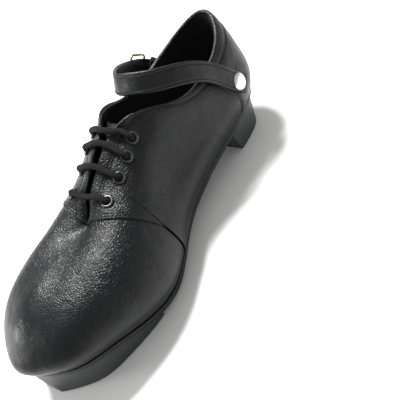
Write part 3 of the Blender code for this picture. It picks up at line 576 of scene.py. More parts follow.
def creased(points):
    """How far each point moves out along its normal, in metres."""
    lift = np.zeros(points.shape[:-1])
    for start, end, width, depth in CREASES:
        start = np.array(start) / 1000
        span = np.array(end) / 1000 - start
        share = np.clip(((points - start) @ span) / (span @ span), 0, 1)
        away = np.linalg.norm(points - start - share[..., None] * span, axis=-1) * 1000
        fade = np.sin(np.pi * np.clip(0.08 + 0.84 * share, 0, 1)) ** 0.7
        lift += depth / 1000 * np.exp(-((away / width) ** 2)) * fade
    return lift


def grain_at(points):
    """Grain is deep on the top and the quarters and pulled flat low on the toe."""
    toe = np.clip((points[..., 1] + 0.214) / 0.045, 0, 1)
    high = np.clip((points[..., 2] - 0.024) / 0.022, 0, 1)
    return 0.18 + 0.82 * toe * high


# %% [markdown]
# ## The vamp
# The vamp is the front panel: one sheet from the sole up to the seam, where it slips
# a few millimetres under the quarters. It is laid along the ribs, with its lower edge
# tucked in over the sole as lasted leather is.

# %% Vamp
def tuck(points, normals):
    """The turned-in row under a panel's lower edge."""
    inward = normals.copy()
    inward[:, 2] = 0
    inward /= np.linalg.norm(inward, axis=1)[:, None]
    under = points - inward * 0.0016
    under[:, 2] = sole_top(under[:, 1]) + 0.00005
    return under


def make_vamp():
    reach = 0.012
    side_a = np.linspace(-SEAM_END[-1] - reach, 0, 170, endpoint=False)
    side_b = np.linspace(0, SEAM_END[1] + reach, 171)
    turns = np.concatenate([side_a, side_b])
    rulers, _ = rib_rulers(turns)
    stop = seam_ups(turns)
    ends = []
    for k, ruler in enumerate(rulers):
        far = np.interp(stop[k], RULER, ruler) + 0.004
        ends.append(min(np.interp(far, ruler, RULER), 1.0 - 0.25 * (1 - stop[k])))
    rows = np.linspace(0, 1, 110)[:, None] * np.array(ends)[None, :]
    places = np.broadcast_to(turns, rows.shape)
    points = on_last(places, rows)
    normals = normals_on_last(places, rows)
    points = points + normals * creased(points)[..., None]
    points = np.concatenate([tuck(points[0], normals[0])[None], points])
    piece = laid_grid("vamp", points)
    set_grain(piece, grain_at(points))
    return finish_piece(piece, black_grained_cowhide, 60)


vamp = make_vamp()
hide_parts("upper")

# %% [markdown]
# ## Quarters and counter
# The two quarters carry the eyelets and wrap the heel, and a counter is sewn over
# both at the back. Each is a millimetre of folded leather on top of the vamp: its
# edges are rounded over, a padded band runs round the opening with a sewn groove
# below it, and two rows of stitches run behind the front seam. The height of the
# leather over the last is worked out from the distance to those edges.

# %% Height of the leather over the last
BAND = 0.0080
EDGE_ROUND = 0.0009
SEAM_ROWS = (0.0024, 0.0044)
BAND_ROWS = (0.0073, 0.0088)


def soft_ridge(distance, at, width):
    return np.exp(-(((distance - at) / width) ** 2))


def leather_height(from_seam, from_top, step, rolled):
    """Height over the last, from distances to the lower edge and to the opening."""
    near = np.clip(from_seam / EDGE_ROUND, 0, 1)
    edge = -0.0002 + (step + 0.0002) * np.sqrt(np.clip(1 - (1 - near) ** 2, 0, 1))
    height = rolled * edge + (1 - rolled) * step
    height = height + rolled * 0.00025 * soft_ridge(from_seam, 0.0012, 0.0007)
    for row in SEAM_ROWS:
        height = height - rolled * 0.00030 * soft_ridge(from_seam, row, 0.00040)
    puff = np.sqrt(np.clip((BAND - from_top) / 0.004, 0, 1)) * 0.00060
    for row in BAND_ROWS:
        height = height - 0.00042 * soft_ridge(from_top, row, 0.00045)
    return height + puff


def panel(turns, step, seam=None):
    """Points, normals and edge distances of a panel that runs up to the opening and rolls in."""
    roll = (WALL + step) / 2
    rulers, _ = rib_rulers(turns)
    whole = rulers[:, -1]
    low = np.zeros(len(turns)) if seam is None else seam
    start = np.array([np.interp(low[k], RULER, rulers[k]) for k in range(len(turns))])
    stop = np.maximum(whole - roll, start + 0.0004)
    span = stop - start
    low_zone = np.minimum(0.0056, span * 0.3)
    high_zone = np.minimum(0.0100, span * 0.5)
    parts = (
        start[None] + low_zone[None] * np.linspace(0, 1, 20, endpoint=False)[:, None] ** 1.2,
        (start + low_zone)[None]
        + (span - low_zone - high_zone)[None] * np.linspace(0, 1, 44, endpoint=False)[:, None],
        (stop - high_zone)[None] + high_zone[None] * np.linspace(0, 1, 28)[:, None],
    )
    lengths = np.concatenate(parts)
    ups = np.empty(lengths.shape)
    for k in range(len(turns)):
        ups[:, k] = np.interp(lengths[:, k], rulers[k], RULER)
    places = np.broadcast_to(turns, ups.shape)
    return places, ups, lengths - start[None], whole[None] - lengths, roll


def rolled_edge(points, normals, roll, step):
    """Rows that turn the top edge over to the lining's side."""
    upward = points[-1] - points[-2]
    upward /= np.linalg.norm(upward, axis=1)[:, None]
    normal = normals[-1]
    centre = points[-1] - normal * roll
    rows = []
    for turned in np.linspace(0, math.pi, 9)[1:]:
        rows.append(centre + normal * roll * math.cos(turned) + upward * roll * math.sin(turned))
    down = rows[-1] - upward * 0.003
    return np.concatenate([points, rows, [down]])


# %% Two quarters
UNDER_COUNTER = 0.415


def make_quarter(name, side):
    seam_end = SEAM_END[side]
    halfway = seam_end * 0.55
    turns = np.concatenate(
        [
            np.linspace(0.0005, halfway, 90, endpoint=False),
            np.linspace(halfway, seam_end, 90, endpoint=False),
            np.linspace(seam_end, UNDER_COUNTER, 190),
        ]
    )
    real = turns if side > 0 else 1 - turns
    seam = seam_ups(real)
    places, ups, from_seam, from_top, roll = panel(real, OVERLAY, seam)
    rolled = np.clip((seam_end - turns) / 0.006, 0, 1)[None]
    points = on_last(places, ups)
    normals = normals_on_last(places, ups)
    height = leather_height(from_seam, from_top, OVERLAY, rolled) + creased(points)
    points = points + normals * height[..., None]
    whole = rolled_edge(points, normals, roll, OVERLAY)
    feather = tuck(points[0], normals[0])
    rolled_row = rolled[0][:, None]
    first = rolled_row * points[0] + (1 - rolled_row) * feather
    whole = np.concatenate([first[None], whole])
    piece = laid_grid(name, whole if side > 0 else whole[:, ::-1])
    grain = grain_at(whole)
    set_grain(piece, grain if side > 0 else grain[:, ::-1])
    return finish_piece(piece, black_grained_cowhide, 60)


quarter_medial = make_quarter("quarter_medial", 1)
quarter_lateral = make_quarter("quarter_lateral", -1)

# %% Counter over the heel
COUNTER_FROM = 0.39


def make_counter():
    step = OVERLAY + COUNTER_STEP
    turns = np.linspace(COUNTER_FROM, 1 - COUNTER_FROM, 241)
    places, ups, from_foot, from_top, roll = panel(turns, step)
    points = on_last(places, ups)
    normals = normals_on_last(places, ups)
    steps = np.linalg.norm(np.diff(points, axis=1), axis=2)
    run = np.concatenate([np.zeros((len(points), 1)), np.cumsum(steps, axis=1)], axis=1)
    from_side = np.minimum(run, run[:, -1:] - run)
    near = np.clip(from_side / EDGE_ROUND, 0, 1)
    height = leather_height(from_foot, from_top, step, 0.0)
    height = height - (1 - np.sqrt(np.clip(1 - (1 - near) ** 2, 0, 1))) * (COUNTER_STEP + 0.0003)
    height = height - 0.0002 * soft_ridge(from_side, 0.0022, 0.0004)
    points = points + normals * (height + creased(points))[..., None]
    whole = rolled_edge(points, normals, roll, step)
    whole = np.concatenate([tuck(points[0], normals[0])[None], whole])
    piece = laid_grid("counter", whole)
    set_grain(piece, grain_at(whole))
    return finish_piece(piece, black_grained_cowhide, 60)


counter = make_counter()

# %% [markdown]
# ## Lining
# Inside, a fabric lining is glued to the leather. It is a second sheet, two
# millimetres in from the first, and it faces the foot.

# %% Lining
def make_lining():
    turns = np.linspace(0, 1, 321)
    ups = np.concatenate([np.linspace(0.0, 0.9, 40), np.linspace(0.92, 0.985, 8)])
    places, rows = np.meshgrid(turns, ups)
    points = on_last(places, rows)
    normals = normals_on_last(places, rows)
    inside = points - normals * (WALL - 0.0001)
    piece = laid_grid("lining", inside[:, ::-1])
    tidy_mesh(piece, recalculate=False)
    return finish_piece(piece, black_lining_fabric, 60)


lining = make_lining()

# %% [markdown]
# ## Stitches
# One stitch is a small capsule of thread that dips into the leather at both ends. It
# is modelled once from a sphere, and copied along each line at the machine's pitch.

# %% Rows of stitches
STITCH_PITCH = 0.0024
STITCH_LENGTH = 0.0019
THREAD = 0.00028


def one_stitch():
    deselect()
    bpy.ops.mesh.primitive_uv_sphere_add(segments=8, ring_count=6, radius=1)
    ball = bpy.context.object
    points = np.array([v.co for v in ball.data.vertices])
    faces = [tuple(p.vertices) for p in ball.data.polygons]
    bpy.data.objects.remove(ball, do_unlink=True)
    points = points[:, [2, 0, 1]] * (STITCH_LENGTH / 2, THREAD, THREAD)
    return points, faces


STITCH_POINTS, STITCH_FACES = one_stitch()
stitch_rows = []


def sew(points, normals, lift=0.0001):
    """Keeps a row of stitches along a line that lies on the leather."""
    steps = np.linalg.norm(np.diff(points, axis=0), axis=1)
    run = np.concatenate([[0], np.cumsum(steps)])
    count = int(run[-1] // STITCH_PITCH)
    for k in range(count):
        at = (k + 0.5) * STITCH_PITCH
        middle = np.array([np.interp(at, run, points[:, i]) for i in range(3)])
        ahead = np.array([np.interp(at + 0.0005, run, points[:, i]) for i in range(3)])
        normal = np.array([np.interp(at, run, normals[:, i]) for i in range(3)])
        way = ahead - middle
        way /= np.linalg.norm(way)
        side = np.cross(normal, way)
        side /= np.linalg.norm(side)
        up = np.cross(way, side)
        stitch_rows.append(STITCH_POINTS @ np.array((way, side, up)) + middle + up * lift)


def sew_along(side, turns, from_seam=None, from_top=None, step=OVERLAY):
    """Stitches at a distance from the front seam or from the opening's edge."""
    real = turns if side > 0 else 1 - turns
    rulers, _ = rib_rulers(real)
    if from_top is None:
        low = seam_ups(real)
        wanted = [np.interp(low[k], RULER, rulers[k]) + from_seam for k in range(len(real))]
    else:
        wanted = rulers[:, -1] - from_top
    ups = np.array([np.interp(wanted[k], rulers[k], RULER) for k in range(len(real))])
    normals = normals_on_last(real, ups)
    points = on_last(real, ups)
    points = points + normals * (step - 0.0003 + creased(points))[:, None]
    sew(points, normals, 0.00012)


for side in (1, -1):
    for row in SEAM_ROWS:
        sew_along(side, np.linspace(0.012, SEAM_END[side] - 0.004, 120), from_seam=row)
    for row in BAND_ROWS:
        sew_along(side, np.linspace(0.05, COUNTER_FROM, 200), from_top=row)
counter_turns = np.linspace(COUNTER_FROM, 1 - COUNTER_FROM, 120)
sew_along(1, counter_turns, from_top=BAND_ROWS[0], step=OVERLAY + COUNTER_STEP)
for edge in (COUNTER_FROM + 0.0042, 1 - COUNTER_FROM - 0.0042):
    ups = np.linspace(0.03, 0.97, 60)
    turns = np.full(60, edge)
    normals = normals_on_last(turns, ups)
    sew(on_last(turns, ups) + normals * (OVERLAY + COUNTER_STEP - 0.0001), normals)
print("stitches on the upper:", len(stitch_rows))

# %% [markdown]
# ## Tongue
# The tongue is a soft leather flap sewn under the throat. It fills the slit between
# the facings and stands a little above the top pair of eyelets.

# %% Tongue
def turn_of_edge(share, side):
    turns = np.linspace(0, 0.5, 400)
    edge = on_last(turns if side > 0 else 1 - turns, 1.0)
    wanted = np.interp(along(share), edge[:, 1], turns)
    return wanted if side > 0 else 1 - wanted


def up_from_edge(turn, distance):
    ruler = rib_rulers([turn])[0][0]
    return np.interp(ruler[-1] - np.asarray(distance), ruler, RULER)


def make_tongue():
    spread = np.linspace(0, 0.030, 14)
    clear = WALL + 0.0011
    shares = np.linspace(0.37, 0.53, 34)
    rows = []
    for share in shares:
        dip = 0.0042 * max(0.0, 1 - (share - shares[0]) * LENGTH / 0.0105) ** 2
        halves = {}
        for side in (1, -1):
            turn = turn_of_edge(share, side)
            ups = up_from_edge(turn, spread)
            turns = np.full(len(ups), turn)
            halves[side] = on_last(turns, ups) - normals_on_last(turns, ups) * clear
        middle = (halves[1][0] + halves[-1][0]) / 2
        rows.append(np.concatenate([halves[-1][::-1], [middle], halves[1]]) - (0, 0, dip))
    rows = np.array(rows)
    rise = rows[-1] - rows[-3]
    rise /= np.linalg.norm(rise, axis=1)[:, None]
    across = np.linspace(-1, 1, rows.shape[1])
    free = 0.0085 * np.sqrt(1 - 0.55 * across**2)
    ends = [rows[-1] + rise * (free * share)[:, None] for share in (0.33, 0.66, 0.9, 1.0)]
    front = rows[0] - (0, 0.010, 0.0015)
    rows = np.concatenate([[front], rows, ends])
    piece = laid_grid("tongue_leather", rows[:, ::-1])
    thick = piece.modifiers.new("Thickness", "SOLIDIFY")
    thick.thickness = 0.0016
    thick.offset = 1.0
    bpy.ops.object.modifier_apply(modifier=thick.name)
    tidy_mesh(piece)
    set_grain(piece, np.full(len(piece.data.vertices), 0.6))
    return finish_piece(piece, black_grained_cowhide, 50)


tongue = make_tongue()
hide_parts("tongue")

# %% [markdown]
# ## Sole and insole
# The outsole is four millimetres of leather with rounded edges. Rings of points run
# from its middle line out to its edge and back underneath, and every point keeps to
# the sole's own curve, with its toe spring and arch.

# %% Outline of the sole
SOLE_OVERHANG = 0.0009
SOLE_EDGE = 0.0011
INSOLE_THICKNESS = 0.0022
INSOLE_EDGE = 0.0006


def outline(offset, count=400):
    """The sole's edge in plan, moved outwards, as one closed loop from the toe."""
    turns = np.linspace(0, 1, count, endpoint=False)
    foot = on_last(turns, 0.0)[:, :2]
    way = np.roll(foot, -1, axis=0) - np.roll(foot, 1, axis=0)
    way /= np.linalg.norm(way, axis=1)[:, None]
    return foot + np.stack([way[:, 1], -way[:, 0]], axis=1) * offset


def middle_line(y):
    loop = outline(0.0, 400)
    half = len(loop) // 2
    medial = np.interp(y, loop[:half, 1], loop[:half, 0])
    lateral = np.interp(y, loop[half:, 1][::-1], loop[half:, 0][::-1])
    return (medial + lateral) / 2


def plate(name, offset, top, thickness, edge):
    rows = []
    for share in (0.0, 0.35, 0.7):
        loop = outline(offset - edge)
        mid = middle_line(loop[:, 1])
        rows.append((mid + (loop[:, 0] - mid) * share, loop[:, 1], top - thickness))
    for turned in np.linspace(-math.pi / 2, math.pi / 2, 9):
        loop = outline(offset - edge + edge * math.cos(turned))
        middle = top - thickness / 2
        flat = (thickness / 2 - edge) * np.sign(round(math.sin(turned), 6))
        height = middle + flat + edge * math.sin(turned)
        rows.append((loop[:, 0], loop[:, 1], height))
    for share in (0.7, 0.35, 0.0):
        loop = outline(offset - edge)
        mid = middle_line(loop[:, 1])
        rows.append((mid + (loop[:, 0] - mid) * share, loop[:, 1], top))
    table = []
    for x, y, height in rows:
        z = sole_top(y) + height
        points = np.stack([x, y, z], axis=1)
        table.append(np.concatenate([points, points[:1]]))
    piece = laid_grid(name, np.array(table))
    tidy_mesh(piece)
    return piece


sole = plate("sole_leather", SOLE_OVERHANG, 0.0, SOLE_THICKNESS, SOLE_EDGE)
finish_piece(sole, black_sole_leather)
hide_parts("sole")
insole = plate("insole_sock", -WALL - 2 * GAP, GAP + INSOLE_THICKNESS, INSOLE_THICKNESS, INSOLE_EDGE)
finish_piece(insole, black_lining_fabric)
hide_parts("insole")

# %% [markdown]
# ## Tip and heel
# Both blocks are walls raised from the floor to the sole's underside, following its
# outline. The heel tapers in towards the floor and its breast slopes back. The tip's
# nose flares forwards as it goes down and is then cut flat in front.

# %% Blocks under the sole
def wall_loop(offset, start, end, count=520):
    """A loop that follows the sole's edge between two Y values and closes straight across."""
    loop = outline(offset, count)
    keep = np.clip(loop[:, 1], start, end)
    half = count // 2
    left = np.interp(keep, loop[half:, 1][::-1], loop[half:, 0][::-1])
    right = np.interp(keep, loop[:half, 1], loop[:half, 0])
    x = np.where(np.arange(count) < half, right, left)
    return np.stack([x, keep], axis=1)


RIM = 0.0009


def block(name, rounded, low, top, top_z, steps, cut=-LENGTH * 2, lean=0.0):
    """A closed block: a flat underside, a rounded rim, and a wall up to the sole's underside.

    Nothing of it reaches past the cut, a plane across the front that leans by a slope.
    """
    rows = [(rounded * (0.0, 1.0), 0.0), (rounded, 0.0)]
    rows += [(rounded + (low - rounded) * s, RIM * s) for s in (0.3, 0.7, 1.0)]
    for share in np.linspace(0, 1, steps)[1:]:
        y = low[:, 1] * (1 - share) + top[:, 1] * share
        under = sole_top(y) - SOLE_THICKNESS - GAP
        z = RIM + (under - RIM) * share
        way = np.clip((z - RIM) / (top_z - RIM), 0, 1)[:, None]
        rows.append((low + (top - low) * way, z))
    table = []
    for loop, z in rows:
        z = np.broadcast_to(z, len(loop))
        table.append(np.stack([loop[:, 0], np.maximum(loop[:, 1], cut - z * lean), z], axis=1))
    table.append(table[-1] * (0.0, 1.0, 1.0))
    table = np.array(table)
    piece = laid_grid(name, np.concatenate([table, table[:, :1]], axis=1))
    tidy_mesh(piece)
    return finish_piece(piece, charcoal_moulded_resin, 32)


TIP_LENGTH = 0.072
TIP_NOSE = 0.028
TIP_REACH = 0.009
TIP_SHIFT = 0.007
FACET_DEPTH = 0.0048
HEEL_LENGTH = 0.059
BREAST_SLOPE = 0.0100
BLOCK_ROOM = 0.004


def flared(loop):
    nose = loop[:, 1].min()
    start = float(along(0)) + TIP_NOSE
    far = np.clip((start - loop[:, 1]) / (start - nose), 0, 1) ** 1.5
    return loop - np.stack([TIP_SHIFT * far, TIP_REACH * far], axis=1)


def make_tip():
    rear = float(along(0)) + TIP_LENGTH
    top = wall_loop(-0.0006, -LENGTH, rear)
    low = flared(wall_loop(-0.0030, -LENGTH, rear))
    rounded = flared(wall_loop(-0.0038, -LENGTH, rear - 0.0008))
    cut = float(outline(-0.0030)[:, 1].min()) - TIP_REACH + FACET_DEPTH
    top_z = TIP_REAR_THICKNESS + TOE_SPRING + BLOCK_ROOM
    return block("tip_resin", rounded, low, top, top_z, 26, cut, math.tan(math.radians(2)))


def make_heel():
    front = float(along(1)) - HEEL_LENGTH
    top = wall_loop(-0.0008, front, LENGTH)
    low = wall_loop(-0.0058, front + BREAST_SLOPE, LENGTH)
    rounded = wall_loop(-0.0066, front + BREAST_SLOPE + 0.0008, LENGTH)
    top_z = TIP_REAR_THICKNESS + HEEL_RISE + BLOCK_ROOM
    return block("heel_resin", rounded, low, top, top_z, 22)


tip = make_tip()
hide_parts("toe_tip")
heel = make_heel()
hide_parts("heel")

# %% [markdown]
# ## Eyelets and lace
# Each eyelet is a pressed ring with a rolled flange. The lace is a round braided
# cord, four millimetres thick: it comes up through one eyelet, lies straight across
# the slit and goes down through the other, where it turns under the facing.

# %% Where the eyelets are
EYELET_PLACES = (0.52, 0.49, 0.455, 0.415)
EYELET_INSET = 0.0160
LACE_RADIUS = 0.0020


def eyelet_seat(share, side, lift):
    turn = turn_of_edge(share, side)
    up = float(up_from_edge(turn, EYELET_INSET))
    normal = normals_on_last(turn, up)
    return on_last(turn, up) + normal * lift, normal


def facing_point(side, y, distance, lift):
    turns = np.linspace(turn_of_edge(0.36, side), turn_of_edge(0.54, side), 16)
    backs = [on_last(turn, float(up_from_edge(turn, distance)))[1] for turn in turns]
    turn = float(np.interp(y, backs, turns))
    up = float(up_from_edge(turn, distance))
    return on_last(turn, up) + normals_on_last(turn, up) * lift


def matrix_to(point, normal, along_way=(0, 1, 0)):
    z = Vector(normal).normalized()
    x = Vector(along_way).cross(z).normalized()
    turned = Matrix((x, z.cross(x), z)).transposed().to_4x4()
    return Matrix.Translation(Vector(point)) @ turned


def make_eyelets():
    for side, word in ((1, "medial"), (-1, "lateral")):
        for number, share in enumerate(EYELET_PLACES, 1):
            point, normal = eyelet_seat(share, side, OVERLAY + 0.0005)
            deselect()
            bpy.ops.mesh.primitive_torus_add(
                major_radius=0.00325, minor_radius=0.00085, major_segments=40, minor_segments=12
            )
            ring = bpy.context.object
            ring.name = ring.data.name = f"ring_{word}_{number}"
            bpy.ops.object.mode_set(mode="EDIT")
            bpy.ops.mesh.select_all(action="SELECT")
            bpy.ops.transform.resize(value=(1, 1, 0.75))
            bpy.ops.object.mode_set(mode="OBJECT")
            ring.data.transform(matrix_to(point, normal))
            finish_piece(ring, black_sprayed_steel, 80)
            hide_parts(f"eyelet_{word}_{number}")


make_eyelets()

# %% A cord along a path
def cord_mesh(name, path, radius, around=14, pitch=0.0042, squeeze=None):
    """A round cord with its own UV map: along its length in turns of the braid, and round it."""
    path = np.asarray(path)
    way = np.gradient(path, axis=0)
    way /= np.linalg.norm(way, axis=1)[:, None]
    side = np.cross(way[0], (0, 0, 1))
    side /= np.linalg.norm(side)
    sides = []
    for forward in way:
        side = side - forward * (side @ forward)
        side = side / np.linalg.norm(side)
        sides.append(side)
    sides = np.array(sides)
    ups = np.cross(way, sides)
    table = []
    for turned in np.linspace(0, 2 * math.pi, around + 1):
        ring = path + (sides * math.cos(turned) + ups * math.sin(turned)) * radius
        ring = np.concatenate([path[:1] - way[:1] * radius * 0.5, ring, path[-1:] + way[-1:] * radius * 0.5])
        table.append(ring)
    piece = laid_grid(name, np.array(table))
    length = np.linalg.norm(np.diff(path, axis=0), axis=1).sum()
    layer = piece.data.uv_layers.active.data
    flat = np.empty(len(layer) * 2, np.float32)
    layer.foreach_get("uv", flat)
    flat = flat.reshape(-1, 2) * (length / pitch, 2.0)
    layer.foreach_set("uv", flat.ravel())
    tidy_mesh(piece)
    return piece


def make_lace():
    for number, share in enumerate(EYELET_PLACES, 1):
        route = []
        over = OVERLAY + 0.0006 + LACE_RADIUS
        medial, medial_normal = eyelet_seat(share, 1, 0.0)
        lateral, lateral_normal = eyelet_seat(share, -1, 0.0)
        route += [lateral - lateral_normal * 0.0012, lateral + lateral_normal * 0.0012]
        for far in (0.80, 0.5, 0.15):
            route.append(facing_point(-1, float(lateral[1]), EYELET_INSET * far, over))
        for far in (0.15, 0.5, 0.80):
            route.append(facing_point(1, float(medial[1]), EYELET_INSET * far, over))
        route += [medial + medial_normal * 0.0012, medial - medial_normal * 0.0012]
        path = smooth_path(route, 120)
        length = np.linalg.norm(np.diff(path, axis=0), axis=1).sum()
        print(f"lace run {number}, mm:", round(length * 1000, 1))
        piece = cord_mesh(f"lace_run_{number}", path, LACE_RADIUS)
        finish_piece(piece, black_braided_cotton, 80)
        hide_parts(f"lace_bar_{number}")


make_lace()

# %% [markdown]
# ## Ankle strap
# The strap is two layers of thin leather sewn along both edges, so each edge has a
# groove with stitches in it. Its line runs from the snap, round the front of the ankle,
# to the buckle and down to its free end. The shares beside the quarters were worked
# out from the measured width of the upper, and rounded.

# %% The strap's line
STRAP_PATH = (
    (0.549, 0.890, 0.530, -0.15, 1),
    (0.568, 0.860, 0.620, -0.28, 1),
    (0.624, 0.815, 0.800, -0.36, 1),
    (0.553, 0.735, 0.990, -0.35, 1),
    (0.365, 0.675, 1.070, -0.45, 0),
    (0.135, 0.655, 1.095, -0.55, 0),
    (-0.095, 0.655, 1.085, -0.55, 0),
    (-0.310, 0.680, 1.055, -0.45, 0),
    (-0.497, 0.725, 1.000, -0.30, 1),
    (-0.627, 0.780, 0.915, -0.22, 1),
    (-0.680, 0.840, 0.800, -0.25, 1),
    (-0.622, 0.880, 0.660, -0.25, 1),
)
BILLET_PATH = (
    (-0.617, 0.840, 0.795, -0.25, 1),
    (-0.577, 0.865, 0.710, -0.25, 1),
    (-0.563, 0.885, 0.620, -0.23, 1),
    (-0.552, 0.900, 0.545, -0.15, 1),
    (-0.562, 0.915, 0.480, -0.05, 1),
)
STRAP_WIDTH = 0.0140
STRAP_THICKNESS = 0.0024
BILLET_THICKNESS = 0.0018
SNAP_AT = 0.043
BUCKLE_AT = 0.88
KEEPER_AT = 0.952
RIVET_AT = 0.84


def quarter_width(side, y, z):
    """The shoe's width at a place beside the heel."""
    turns = np.linspace(0.25, 0.48, 24)
    faces = on_last((turns if side > 0 else 1 - turns)[:, None], np.linspace(0, 1, 31)[None, :])
    out = [np.interp(z, rib[:, 2], np.abs(rib[:, 0])) for rib in faces]
    back = [np.interp(z, rib[:, 2], rib[:, 1]) for rib in faces]
    return 2 * np.interp(y, back, out)


def strip_line(table, places):
    """Middle line, outward normals and width directions of a strip."""
    rows = np.array(table)
    y = along(rows[:, 1])
    z = rows[:, 2] * INSTEP_HEIGHT
    widths = np.array([quarter_width(*place) for place in zip(rows[:, 0], y, z)])
    x = rows[:, 0] * np.where(rows[:, 4] > 0, widths, COLLAR_WIDTH)
    points = np.stack([x, y, z], axis=1)
    knots = chord_knots(points)
    places = np.atleast_1d(places)
    middle = spline(knots, points, places)
    leans = spline(knots, rows[:, 3], places)
    ahead = np.clip(places + 1e-3, 0, 1)
    behind = np.clip(places - 1e-3, 0, 1)
    way = spline(knots, points, ahead) - spline(knots, points, behind)
    way /= np.linalg.norm(way, axis=1)[:, None]
    outward = np.cross((0, 0, 1), way)
    outward /= np.linalg.norm(outward, axis=1)[:, None]
    wide = np.cross(way, outward) * np.cos(leans) + outward * np.sin(leans)
    return middle, np.cross(wide, way), wide


def strip_frame(table, place, lift):
    middle, outward, wide = strip_line(table, place)
    return matrix_to(middle[0] + outward[0] * lift, outward[0], wide[0])


def strip_section(width, thickness, groove):
    """Half-round edges and, on the outer side, a sewn groove near each edge."""
    r = thickness / 2
    flat = width / 2 - r
    across = np.concatenate(
        [
            np.linspace(-flat, -flat + 0.004, 13),
            np.linspace(-flat + 0.005, flat - 0.005, 5),
            np.linspace(flat - 0.004, flat, 13),
        ]
    )
    from_edge = width / 2 - np.abs(across)
    deep = r - groove * np.exp(-(((from_edge - 0.0022) / 0.0004) ** 2))
    section = list(zip(across, deep))
    section += [(flat + r * math.sin(t), r * math.cos(t)) for t in np.linspace(0, math.pi, 9)[1:-1]]
    section += [(x, -r) for x in np.linspace(flat, -flat, 8)]
    section += [(-flat - r * math.sin(t), -r * math.cos(t)) for t in np.linspace(0, math.pi, 9)[1:-1]]
    return section + section[:1]


def make_strip(name, table, width, thickness, groove, count):
    middle, outward, wide = strip_line(table, np.linspace(0, 1, count))
    rows = []
    for across, deep in strip_section(width, thickness, groove):
        row = middle + wide * across + outward * deep
        rows.append(np.concatenate([(middle + wide * across)[:1], row, (middle + wide * across)[-1:]]))
    piece = laid_grid(name, np.array(rows))
    print(name, "length, mm:", round(np.linalg.norm(np.diff(middle, axis=0), axis=1).sum() * 1000, 1))
    tidy_mesh(piece, fill=True)
    return piece


strap = finish_piece(
    make_strip("strap_leather", STRAP_PATH, STRAP_WIDTH, STRAP_THICKNESS, 0.0004, 220),
    black_strap_leather,
)
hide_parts("strap")
billet = finish_piece(
    make_strip("billet_leather", BILLET_PATH, STRAP_WIDTH, BILLET_THICKNESS, 0.0003, 60),
    black_strap_leather,
)
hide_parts("strap_billet")

for table, thickness in ((STRAP_PATH, STRAP_THICKNESS), (BILLET_PATH, BILLET_THICKNESS)):
    middle, outward, wide = strip_line(table, np.linspace(0.01, 0.99, 120))
    for side in (1, -1):
        line = middle + wide * side * (STRAP_WIDTH / 2 - 0.0022) + outward * (thickness / 2 - 0.0003)
        sew(line, outward)

# %% [markdown]
# ## Snap, rivet, buckle and keeper
# The snap and the rivet are shallow metal domes with a turned-down rim. The buckle is
# a bent wire frame with a single prong, and the keeper is a narrow leather loop that
# holds the strap's free end.

# %% Domed caps
def make_cap(name, radius, rise, place):
    deselect()
    bpy.ops.mesh.primitive_uv_sphere_add(segments=48, ring_count=24, radius=1)
    cap = bpy.context.object
    cap.name = cap.data.name = name
    bpy.ops.object.mode_set(mode="EDIT")
    bpy.ops.mesh.select_all(action="SELECT")
    bpy.ops.mesh.bisect(plane_co=(0, 0, 0), plane_no=(0, 0, 1), clear_inner=True, use_fill=True)
    bpy.ops.object.mode_set(mode="OBJECT")
    points = np.array([v.co for v in cap.data.vertices])
    reach = np.linalg.norm(points[:, :2], axis=1)
    height = np.where(points[:, 2] > 1e-5, 1 - 0.35 * reach**2 - 0.65 * reach**9, 0.0)
    points = np.stack([points[:, 0] * radius, points[:, 1] * radius, height * rise], axis=1)
    cap.data.vertices.foreach_set("co", points.astype(np.float32).ravel())
    cap.data.transform(place)
    return cap


snap = make_cap("snap_cap", 0.0060, 0.0016, strip_frame(STRAP_PATH, SNAP_AT, STRAP_THICKNESS / 2))
finish_piece(snap, bright_nickel_plate, 70)
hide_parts("strap_snap")
rivet = make_cap("rivet_cap", 0.0040, 0.0016, strip_frame(BILLET_PATH, RIVET_AT, BILLET_THICKNESS / 2))
finish_piece(rivet, bright_nickel_plate, 70)
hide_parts("billet_rivet")

# %% Buckle
WIRE = 0.0010
PRONG = 0.0008
SPARE = 0.0012
BUCKLE_LENGTH = 0.0150


def rounded_loop(width, height, corner, steps):
    points = []
    for quarter, (sx, sy) in enumerate(((1, 1), (-1, 1), (-1, -1), (1, -1))):
        for step in range(steps + 1):
            angle = math.pi / 2 * (quarter + step / steps)
            x = sx * (width / 2 - corner) + corner * math.cos(angle)
            points.append((x, sy * (height / 2 - corner) + corner * math.sin(angle), 0.0))
    return points


def wire_piece(name, points, radius, closed, place):
    data = bpy.data.curves.new(name, "CURVE")
    data.dimensions = "3D"
    data.bevel_depth = radius
    data.bevel_resolution = 4
    data.use_fill_caps = True
    line = data.splines.new("POLY")
    line.points.add(len(points) - 1)
    for spot, point in zip(line.points, points):
        spot.co = (*point, 1)
    line.use_cyclic_u = closed
    piece = bpy.data.objects.new(name, data)
    bpy.context.scene.collection.objects.link(piece)
    deselect()
    piece.select_set(True)
    bpy.context.view_layer.objects.active = piece
    bpy.ops.object.convert(target="MESH")
    piece = bpy.context.object
    piece.name = piece.data.name = name
    tidy_mesh(piece)
    piece.data.transform(place)
    return piece


